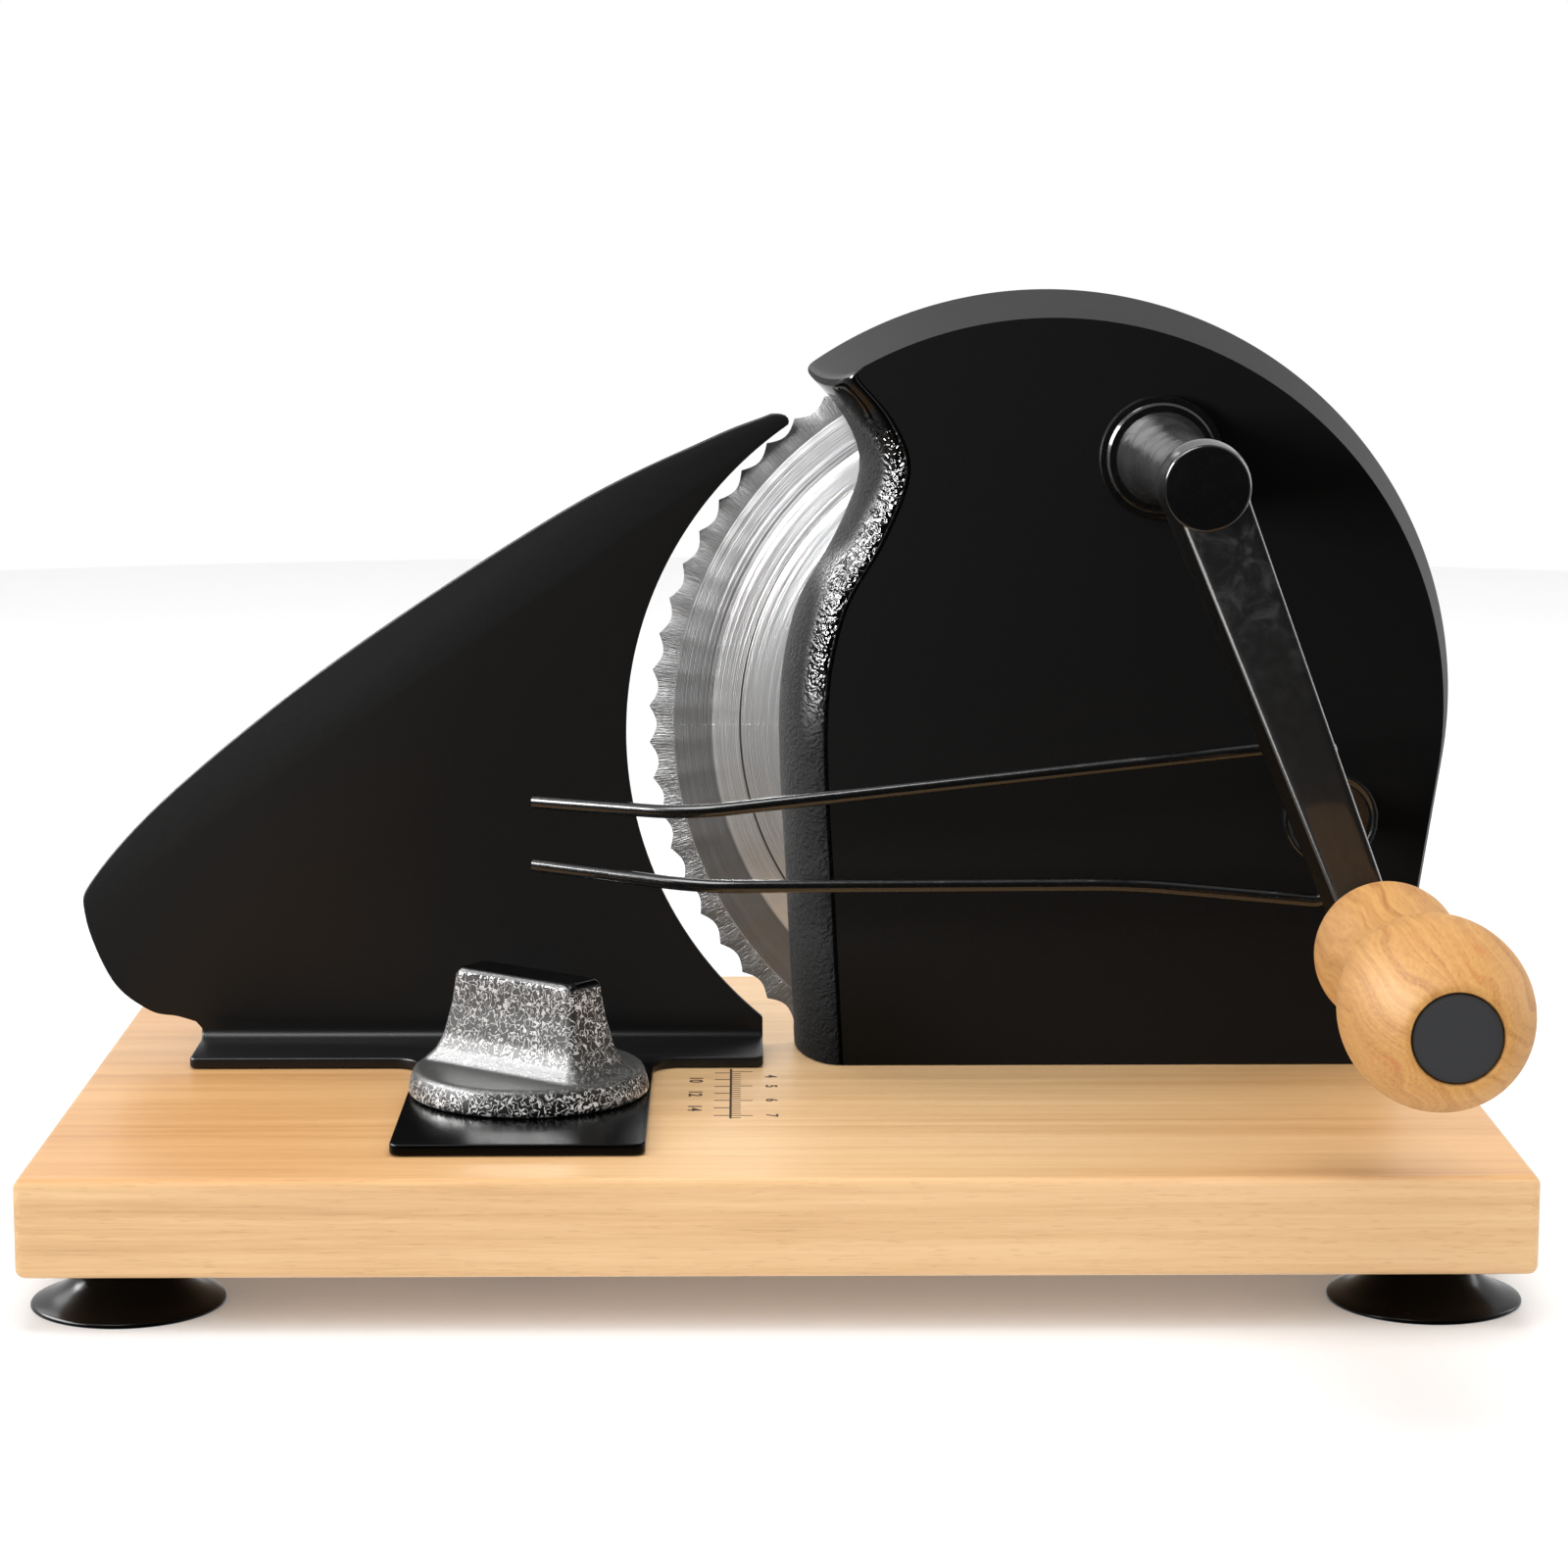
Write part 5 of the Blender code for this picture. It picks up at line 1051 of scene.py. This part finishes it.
# %% Cast the crank
NECK = (
    (0.0, 9.9), (0.06, 9.6), (0.2, 9.2), (0.4, 9.1), (0.6, 9.3), (0.74, 9.8), (0.86, 10.8), (0.96, 12.2),
)
arm_front = low["crank_arm"].y
arm_rear = arm_front + ARM_THICK * MM
neck_rear = high["crank_arm"].y
arm_side = arm_rear - ARM_SIDE * MM
outline = [(CRANK.x + x * MM, arm_side, CRANK.z + z * MM) for x, z in outline]
arm = plate(outline, (0, ARM_SIDE * MM, 0))
pick_faces(arm, lambda spot, normal: normal.y < -0.9)
bpy.ops.mesh.inset(thickness=DRAFT * MM, depth=arm_side - arm_front)
bpy.ops.transform.translate(value=(across.x * SHIFT * MM, 0, across.y * SHIFT * MM))
bpy.ops.object.mode_set(mode="OBJECT")
soften(arm, 0.8, angle=18)
neck_end = (neck_rear - arm_front) / MM
profile = [(0.0, 4.0), (9.3, 4.0)]
neck_span = neck_end - ARM_THICK
profile += [(radius, ARM_THICK + share * neck_span) for share, radius in smooth_curve(NECK, 5)]
profile += [(12.3, neck_end - 1.4), (12.35, neck_end - 0.5), (11.8, neck_end), (0.0, neck_end)]
combine(arm, turned(profile, "Y", CRANK, arm_front), "UNION")
melt(arm, CELL, 4)
combine(arm, rod(SHAFT_HOLE, CRANK, arm_front - MM, neck_rear + MM))
combine(arm, rod(SPINDLE_HOLE, SPINDLE, arm_front - MM, arm_rear + MM))
settle(arm, "crank_casting", "crank", "crank_arm", finish="black_enamel_uneven", angle=50)

# %% Turn the cap on the crank's end
CRANK_CAP = ((0, 0), (9.3, 0), (9.8, 0.1), (10.2, 0.35), (10.45, 0.8), (10.5, 1.2), (10.5, 2), (0, 2))
cap = turned(CRANK_CAP, "Y", CRANK, low["crank_cap"].y)
settle(cap, "crank_end_cap", "crank", "crank_cap", angle=30)

# %% [markdown]
# ## Handle
#
# The wooden grip is turned to a double bulb: a slim one against the arm and a full one for the palm.
# Its end is hollowed for a flat grey cap, and the wood's rim is rounded over beside it.

# %% Turn the grip
GRIP = (
    (0.012, 13.0), (0.040, 15.7), (0.095, 17.4), (0.165, 17.0), (0.260, 15.8), (0.350, 15.1),
    (0.440, 15.6), (0.540, 18.2), (0.630, 20.5), (0.710, 21.5), (0.790, 21.2), (0.870, 19.3),
    (0.940, 16.2), (0.985, 13.1),
)
GRIP_END = (
    (12.3, 0.7), (11.6, 0.1), (11.1, 0.0), (10.5, 0.15), (10.2, 0.6), (10.2, 2.8), (7.3, 2.8),
    (7.3, 14.0), (4.3, 14.0),
)
GRIP_CAP = ((0.0, 0.35), (8.6, 0.35), (9.2, 0.42), (9.7, 0.7), (9.9, 1.2), (9.9, 2.5), (0.0, 2.5))
grip_front = low["handle_grip"].y
grip_span = (high["handle_grip"].y - grip_front) / MM
profile = [(4.3, grip_span), (11.5, grip_span)]
profile += [(radius, grip_span * (1 - share)) for share, radius in smooth_curve(GRIP, 5)]
profile += [*GRIP_END, (4.3, grip_span)]
grip = turned(profile, "Y", SPINDLE, grip_front, 128)
settle(grip, "turned_grip", "handle", "handle_grip", angle=40)
settle(turned(GRIP_CAP, "Y", SPINDLE, grip_front), "grip_end_cap", "handle", "handle_cap", angle=30)

# %% [markdown]
# ## Stop plate
#
# The stop plate is one bent sheet. Its foot lies on the board with a tongue under the clamp knob, and
# its upright face carries the loaf past the blade. The foot is drawn flat, its rear edge is spun up a
# quarter turn for the bend, and the upright sheet is drawn from the outer edge and the blade's arc.

# %% Plate outlines, in the board's millimetres
SHEET = 2.8
BEND = 2.5
FOOT_LEFT, FOOT_RIGHT = -157.0, -3.0
TONGUE_HALF = 31.4
OUTER_EDGE = (
    (-0.6, 173.8), (-18.2, 166.8), (-57.0, 147.6), (-117.6, 108.0), (-162.8, 72.1), (-185.2, 48.2),
    (-188.19, 37.2), (-181.3, 19.2), (-171.5, 10.8), (-163.6, 9.0), (-158.6, 7.5),
)
ARC_MIDDLE = (62.0, 87.0)
ARC_RADIUS = 102.0
PLATE_TIP = 1.4
plate_rear = (high["stop_plate"].y - board_frame.y) / MM
plate_front = plate_rear - SHEET
bend_front = plate_front - BEND
bend_top = SEAT_GAP + SHEET + BEND
foot_front = plate_rear - 28.2
tongue_front = plate_rear - 122.9
tongue_middle = (KNOB.x - board_frame.x) / MM
tongue_left, tongue_right = tongue_middle - TONGUE_HALF, tongue_middle + TONGUE_HALF
foot_outline = rounded(
    (
        (FOOT_LEFT, bend_front, 0),
        (FOOT_LEFT, foot_front, 2),
        (tongue_left, foot_front, 7),
        (tongue_left, tongue_front, 3),
        (tongue_right, tongue_front, 3),
        (tongue_right, foot_front, 7),
        (FOOT_RIGHT, foot_front, 2),
        (FOOT_RIGHT, bend_front, 0),
    ),
    12,
)
edge = smooth_curve(OUTER_EDGE, 8)
first = 180 + math.degrees(math.acos((ARC_MIDDLE[0] - FOOT_RIGHT) / ARC_RADIUS))
last = 180 - math.degrees(math.asin((OUTER_EDGE[0][1] - 2 * PLATE_TIP - ARC_MIDDLE[1]) / ARC_RADIUS))
blade_side = arc(ARC_MIDDLE, ARC_RADIUS, first, last, 72)
beyond = blade_side[-1].lerp(edge[0], 0.5) + Vector((2.2, 1.3)) * PLATE_TIP
tip = bend(blade_side[-1], beyond, edge[0], (0.15, 0.3, 0.5, 0.7, 0.85))
sheet_outline = [*edge, (FOOT_LEFT, bend_top), (FOOT_RIGHT, bend_top), *blade_side, *tip]
print("plate outlines", len(foot_outline), "and", len(sheet_outline), "points")

# %% Bend the plate
bend_line = on_board(0, bend_front, bend_top)
foot_plate = plate([on_board(x, y, SEAT_GAP) for x, y in foot_outline], (0, 0, SHEET * MM))
pick_faces(foot_plate, lambda spot, normal: normal.y > 0.9 and spot.y > bend_line.y - 0.01 * MM)
bpy.ops.mesh.spin(steps=10, angle=-math.radians(90), center=tuple(bend_line), axis=(1, 0, 0))
bpy.ops.mesh.delete(type="ONLY_FACE")
upright = plate([on_board(x, plate_front, z) for x, z in sheet_outline], (0, SHEET * MM, 0))
pick_faces(upright, lambda spot, normal: normal.z < -0.9 and spot.z < bend_line.z + 0.001 * MM)
bpy.ops.mesh.delete(type="ONLY_FACE")
stop_plate = pick(upright, foot_plate)
bpy.ops.object.join()
pick_faces(
    stop_plate, lambda spot, normal: abs(spot.y - bend_line.y) < 0.01 * MM and abs(normal.y) > 0.9
)
bpy.ops.mesh.delete(type="ONLY_FACE")
close_up(0.002)
soften(stop_plate, 0.55, angle=45)
PIN_Y = board_frame.y + 128 * MM
STUD_HOLE = 4.3
for y in (KNOB.y, PIN_Y):
    combine(stop_plate, rod(STUD_HOLE, (KNOB.x, y, 0), board_frame.z - MM, board_frame.z + 5 * MM, "Z"))
settle(stop_plate, "bent_stop_plate", "fence", "stop_plate", angle=30)

# %% [markdown]
# ## Clamp knob
#
# The knob is a low round base with a tapered bar to grip. The bar is a rounded rectangle extruded
# upwards in short steps, each made a little smaller. Base and bar are welded and then rebuilt from even
# cells and smoothed, which leaves the soft hollow at the bar's foot that a moulding has.

# %% Mould the knob
BASE_TOP = 6.9
KNOB_BASE = ((0, 0), (30.2, 0), (31.1, 0.9), (30.6, 3.6), (29.8, 6.0), (28.8, BASE_TOP), (0, BASE_TOP))
REST = math.radians(-38)
SECTIONS = (
    (-0.08, 1.0), (0.03, 0.8), (0.12, 0.56), (0.28, 0.36), (0.62, 0.14), (0.95, 0.02), (1.0, -0.1),
)
BAR_CORNER = 3.4 * MM
BAR_EDGE = 1.9
INSERT_HOLE, INSERT_DEPTH = 6.3, 16.3
knob_foot = low["clamp_knob"].z
knob = turned(KNOB_BASE, "Z", KNOB, knob_foot, 128)
base_top = knob_foot + BASE_TOP * MM
grip_rise = high["clamp_knob"].z - base_top


def bar_size(spread):
    """The bar's length and width where it has spread by a share towards its foot."""
    return Vector((40.0 + 16.0 * spread, 11.8 + 15.2 * spread)) * MM


length, width = bar_size(1.0) / 2
outline = rounded(rectangle(-length, length, -width, width, BAR_CORNER), 10)
draw([(KNOB.x + x, KNOB.y + y, base_top + SECTIONS[0][0] * grip_rise) for x, y in outline])
bpy.ops.mesh.edge_face_add()
for (height, spread), (next_height, next_spread) in zip(SECTIONS, SECTIONS[1:]):
    rise = (next_height - height) * grip_rise
    bpy.ops.mesh.extrude_region_move(TRANSFORM_OT_translate={"value": (0, 0, rise)})
    old, new = bar_size(spread), bar_size(next_spread)
    middle = (KNOB.x, KNOB.y, base_top + next_height * grip_rise)
    bpy.ops.transform.resize(value=(new.x / old.x, new.y / old.y, 1), center_override=middle)
bpy.ops.mesh.select_all(action="SELECT")
bpy.ops.transform.rotate(value=-REST, orient_axis="Z", center_override=tuple(KNOB))
bar = close_up()
soften(bar, BAR_EDGE, segments=5, angle=60)
combine(knob, bar, "UNION")
melt(knob, 0.5, 5)
combine(knob, rod(INSERT_HOLE, KNOB, knob_foot - MM, knob_foot + INSERT_DEPTH * MM, "Z"))
settle(knob, "moulded_knob", "knob", "clamp_knob", angle=60)

# %% [markdown]
# ## Slice guard
#
# Two bent wires hold the cut slices upright. Each is drawn as a chain of vertices with round bends, and
# given its thickness as a curve. They meet on a dished disc that swings on the case.

# %% Bend the wires
WIRE_RADIUS = 1.8 * MM
WIRE_END_BACK = 21 * MM
WIRE_END = 12.6
WIRE_TURN = 24 * MM
WIRES = {
    "upper": ((-208.9, 1.3), (-168.2, 1.5), (0.0, 20.3), (0.0, WIRE_END)),
    "lower": ((-209.1, -15.7), (-164.4, -17.9), (-52.0, -17.4), (0.0, -22.2), (0.0, -WIRE_END)),
}
wire_y = board_frame.y + 97.0 * MM


def bend_wire(route):
    """Straight runs joined by round bends, with the free end turned back."""
    corners = [Vector((GUARD.x + x * MM, wire_y, GUARD.z + z * MM)) for x, z in route]
    corners[0].y += WIRE_END_BACK
    path = [corners[0]]
    for before, here, after in zip(corners, corners[1:], corners[2:]):
        reach = min((before - here).length, (after - here).length, WIRE_TURN) * 0.48
        enter = here + (before - here).normalized() * reach
        leave = here + (after - here).normalized() * reach
        path += bend(enter, here, leave, [step / 12 for step in range(13)])
    draw(path + [corners[-1]])
    bpy.ops.object.mode_set(mode="OBJECT")
    bpy.ops.object.convert(target="CURVE")
    curve = bpy.context.object.data
    curve.bevel_depth = WIRE_RADIUS
    curve.bevel_resolution = 6
    curve.use_fill_caps = True
    bpy.ops.object.convert(target="MESH")
    bpy.ops.object.mode_set(mode="EDIT")
    return close_up(0.002)


for name, route in WIRES.items():
    settle(bend_wire(route), f"{name}_wire", "guard", f"guard_wire_{name}", angle=60)

# %% Press the disc and turn its post
DISC = (
    (3.3, 0.9), (9.6, 0.9), (10.4, 0.8), (10.9, 0.4), (11.3, 0.08), (11.7, 0.0), (12.1, 0.2),
    (12.3, 0.7), (12.3, 4.2), (12.0, 4.6), (3.3, 4.6), (3.3, 0.9),
)
POST = ((3.3, 0.0), (5.3, 0.0), (5.8, 0.5), (5.8, 6.0), (5.5, 6.4), (5.5, 12.0), (5.8, 12.4))
settle(turned(DISC, "Y", GUARD, low["guard_disc"].y, 128), "pressed_disc", "guard", "guard_disc")
post_front = low["guard_post"].y
post_rear = (high["guard_post"].y - post_front) / MM
post = turned([*POST, (5.8, post_rear), (3.3, post_rear), POST[0]], "Y", GUARD, post_front, 64)
settle(post, "turned_post", "base", "guard_post")

# %% [markdown]
# ## Screws and nut
#
# Fasteners are small, but a round head with a cross or a slot tells at once that a thing is bolted.
# Each is turned from a profile, and a straight slot is cut across its head.


# %% Turn the screws
def slotted(name, axis, middle, start, profile, width, depth, outwards, body, turn):
    """Turn a screw and cut a slot of a width and depth, in millimetres, across its head."""
    piece = turned(profile, axis, middle, start, 48)
    spot = Vector(middle)
    spot["XYZ".index(axis)] = start + max(profile, key=lambda row: row[1] * outwards)[1] * MM
    clear_hands()
    bpy.ops.mesh.primitive_cube_add(size=1, location=spot)
    cutter = bpy.context.object
    wide = max(row[0] for row in profile) * 2.4
    size = (wide, depth * 2, width) if axis == "Y" else (wide, width, depth * 2)
    cutter.scale = Vector(size) * MM
    cutter.rotation_euler["XYZ".index(axis)] = turn
    combine(piece, cutter)
    settle(piece, f"{name}_turned", body, name)


BLADE_HEAD = ((4.0, 0.0), (4.0, 0.5), (3.8, 0.8), (3.0, 1.25), (1.8, 1.5), (0.0, 1.6))
GUARD_HEAD = ((0.0, 0.0), (2.6, 0.15), (4.1, 0.5), (4.9, 1.1), (5.2, 1.9), (5.2, 2.4), (3.0, 2.4))
PIN_HEAD = ((6.2, 0.0), (6.2, 0.5), (5.6, 1.05), (4.2, 1.6), (2.2, 1.93), (0.0, 2.0))
seat = blade_rear + 0.3 * MM
for number, name in enumerate(BLADE_SCREWS, start=1):
    tail = (low[name].y - seat) / MM
    profile = [(0.0, tail), (2.0, tail), (2.0, 0.0), *BLADE_HEAD]
    slotted(name, "Y", centre[name], seat, profile, 0.9, 0.8, 1, "cutter", number * 0.9)
name = "guard_screw"
tail = (high[name].y - low[name].y) / MM
profile = [*GUARD_HEAD, (3.0, tail), (0.0, tail)]
slotted(name, "Y", GUARD, low[name].y, profile, 1.1, 1.1, -1, "base", 0.5)
name = "guide_pin"
neck = (high[name].z - low[name].z) / MM - 2.0
profile = [(0.0, 0.0), (3.7, 0.0), (4.0, 0.3), (4.0, neck)]
profile += [(radius, neck + place) for radius, place in PIN_HEAD]
slotted(name, "Z", centre[name], low[name].z, profile, 1.2, 1.0, 1, "fence", 0.7)

# %% Turn the washer and cut the dome nut
WASHER = ((5.6, 0.0), (10.2, 0.0), (10.5, 0.3), (10.5, 0.9), (10.2, 1.2), (5.6, 1.2), (5.6, 0.0))
DOME = ((0.0, 2.7), (6.0, 2.7), (6.4, 5.2), (6.3, 6.2), (5.6, 7.6), (4.2, 8.7), (2.2, 9.3), (0.0, 9.46))
settle(turned(WASHER, "Y", AXLE, low["nut_washer"].y), "turned_washer", "base", "nut_washer")
nut_front = low["axle_nut"].y
nut = rod(7.5, AXLE, nut_front, nut_front + 5.5 * MM, sides=6)
soften(nut, 0.35, segments=2, angle=30)
combine(nut, turned(DOME, "Y", AXLE, nut_front, 64), "UNION")
combine(nut, rod(5.3, AXLE, nut_front - MM, nut_front + 3.05 * MM))
settle(nut, "dome_nut", "base", "axle_nut", angle=30)

# %% [markdown]
# ## Printed scale
#
# Beside the kerf a scale is printed on the wood, so that the stop plate can be set to a thickness. The
# ink is a thin film. Each mark is a thin block just proud of the board, and the numbers are text made
# into mesh, because a printed film has an edge as crisp as that.

# %% Ink the marks
recipe = Recipe("printed_ink", 0.3)
worn = recipe.noise(900, 3.0)
colour = recipe.mix(worn.step(0.35, 0.75), (0.035, 0.014, 0.007), (0.085, 0.036, 0.017))
recipe.feed(base_color=colour, roughness=0.5 + worn * 0.1)
INK_LOW, INK_HIGH = 0.01, 0.05
LINE_X = -11.6
WIDE_MARKS = (111.1, 103.4, 95.6, 87.8, 80.0, 71.8, 63.7)
FIRST_MARK, MARK_PITCH, MARK_COUNT = 112.45, 2.33, 23


def mark(left, right, front, rear):
    """A thin printed block, in the board's millimetres."""
    return brick(on_board(left, front, INK_LOW), on_board(right, rear, INK_HIGH))


marks = [mark(LINE_X - 0.3, LINE_X + 0.3, 60.6, 115.8)]
marks += [mark(-15.9, LINE_X, y - 0.3, y + 0.3) for y in WIDE_MARKS]
for step in range(MARK_COUNT):
    y = FIRST_MARK - MARK_PITCH * step
    marks.append(mark(LINE_X, -5.9 if step % 7 == 0 else -9.0, y - 0.24, y + 0.24))
print("marks", len(marks))


# %% Numbers
LEFT_NUMBERS = (("10", 103.4), ("12", 87.8), ("14", 71.8))
RIGHT_NUMBERS = (("4", 107.1), ("5", 95.8), ("6", 80.3), ("7", 63.7))
INK_SPREAD = 0.13
NUMBER_WIDTH = 1.35


def number(words, x, y, size):
    """A number lying on the board, read from the right."""
    clear_hands()
    bpy.ops.object.text_add(location=on_board(x, y, INK_LOW), rotation=(0, 0, math.radians(-90)))
    writing = bpy.context.object
    writing.data.body = words
    writing.data.size = size * MM
    writing.data.align_x = "CENTER"
    writing.data.align_y = "CENTER"
    writing.data.extrude = (INK_HIGH - INK_LOW) / 2 * MM
    writing.data.offset = INK_SPREAD * MM
    writing.scale.x = NUMBER_WIDTH
    bpy.ops.object.convert(target="MESH")
    return bpy.context.object


marks += [number(words, -21.0, y, 4.9) for words, y in LEFT_NUMBERS]
marks += [number(words, -1.1, y, 4.2) for words, y in RIGHT_NUMBERS]
scale = pick(*marks)
bpy.ops.object.join()
settle(scale, "printed_scale", "base", slot="black_enamel", finish="printed_ink", angle=20)

# %% [markdown]
# ## Studio
#
# The slicer stands on a pale floor in a white surround. Diffuse surfaces are lit evenly by it and by two
# fills. Glossy ones would turn grey if they mirrored white everywhere, so the surround that they mirror
# is dark towards the front and bright towards the back. Soft lights that only gloss mirrors draw the
# highlights: four fall on all but the board, whose lacquer would turn white, and four on one piece each.

# %% Floor
FLOOR_RADIUS = 1.6
clear_hands()
middle = (0, 0.25, 0)
bpy.ops.mesh.primitive_circle_add(vertices=128, radius=FLOOR_RADIUS, fill_type="NGON", location=middle)
ground = bpy.context.object
ground.name = "floor"
paper = {"base_color": rgba(0.80), "emission_color": rgba(1.0), "emission_strength": 0.12}
recipe = Recipe("floor_paper", 0.1, **paper)
recipe.feed(roughness=0.6 + recipe.noise(40) * 0.1)
ground.data.materials.append(finishes["floor_paper"])
ground.visible_glossy = False

# %% Surround
world = bpy.data.worlds.new("studio")
bpy.context.scene.world = world
world.use_nodes = True
sky = Nodes(world.node_tree)
depth = sky.split(sky.node("ShaderNodeTexCoord", output="Generated"))[1]
mirrored = depth.step(-0.7, 0.25, 0.012, 0.95, "LINEAR")
ambient = depth.step(-1.0, 0.6, 1.2, 0.6, "LINEAR")
seen = sky.mix(sky.node("ShaderNodeLightPath", output="Is Camera Ray"), ambient, 1.0)
seen = sky.mix(sky.node("ShaderNodeLightPath", output="Is Glossy Ray"), seen, mirrored)
sky.tree.links.new(seen.socket, sky.tree.nodes["Background"].inputs[0])
bpy.context.scene.view_settings.view_transform = "Standard"
print("world nodes", len(sky.tree.nodes))

# %% Soft lights
LIGHTS = (
    ("left_highlight", (-1.15, 0.0, 0.77), 1.3, 0.6, 30, "EXCLUDE", board),
    ("back_highlight", (-1.0, 0.8, 0.9), 0.7, 0.7, 4, "EXCLUDE", board),
    ("top_highlight", (-0.5, -0.5, 1.5), 0.8, 0.8, 9, "EXCLUDE", board),
    ("right_highlight", (1.2, 0.5, 0.5), 0.3, 0.8, 5, "EXCLUDE", board),
    ("left_fill", (-1.2, -0.6, 0.9), 0.8, 0.8, 3.4, "FILL", None),
    ("top_fill", (0.1, 0.1, 1.7), 1.2, 1.2, 4.2, "FILL", None),
    ("blade_glint", (-0.75, -0.75, 0.75), 0.8, 0.6, 36, "INCLUDE", blade),
    ("blade_return", (0.7, -0.9, 0.8), 0.5, 0.5, 6, "INCLUDE", blade),
    ("lip_glint", (-1.3, -0.7, 0.35), 0.35, 0.5, 190, "INCLUDE", case),
    ("crank_glint", (-0.10, -0.22, 0.05), 0.25, 0.12, 9, "INCLUDE", arm),
)
for name, place, width, height, glow, state, piece in LIGHTS:
    clear_hands()
    aim = (on_board(0, 120, 60) - Vector(place)).to_track_quat("-Z", "Y").to_euler()
    bpy.ops.object.light_add(type="AREA", location=place, rotation=aim)
    light = bpy.context.object
    light.name = name
    light.data.shape = "RECTANGLE"
    light.data.size = width
    light.data.size_y = height
    light.data.energy = glow * math.pi * width * height
    light.visible_diffuse = state == "FILL"
    light.visible_glossy = state != "FILL"
    light.visible_camera = False
    if piece:
        chosen = bpy.data.collections.new(name)
        chosen.objects.link(piece)
        chosen.collection_objects[0].light_linking.link_state = state
        light.light_linking.receiver_collection = chosen
print("lights", len(LIGHTS))
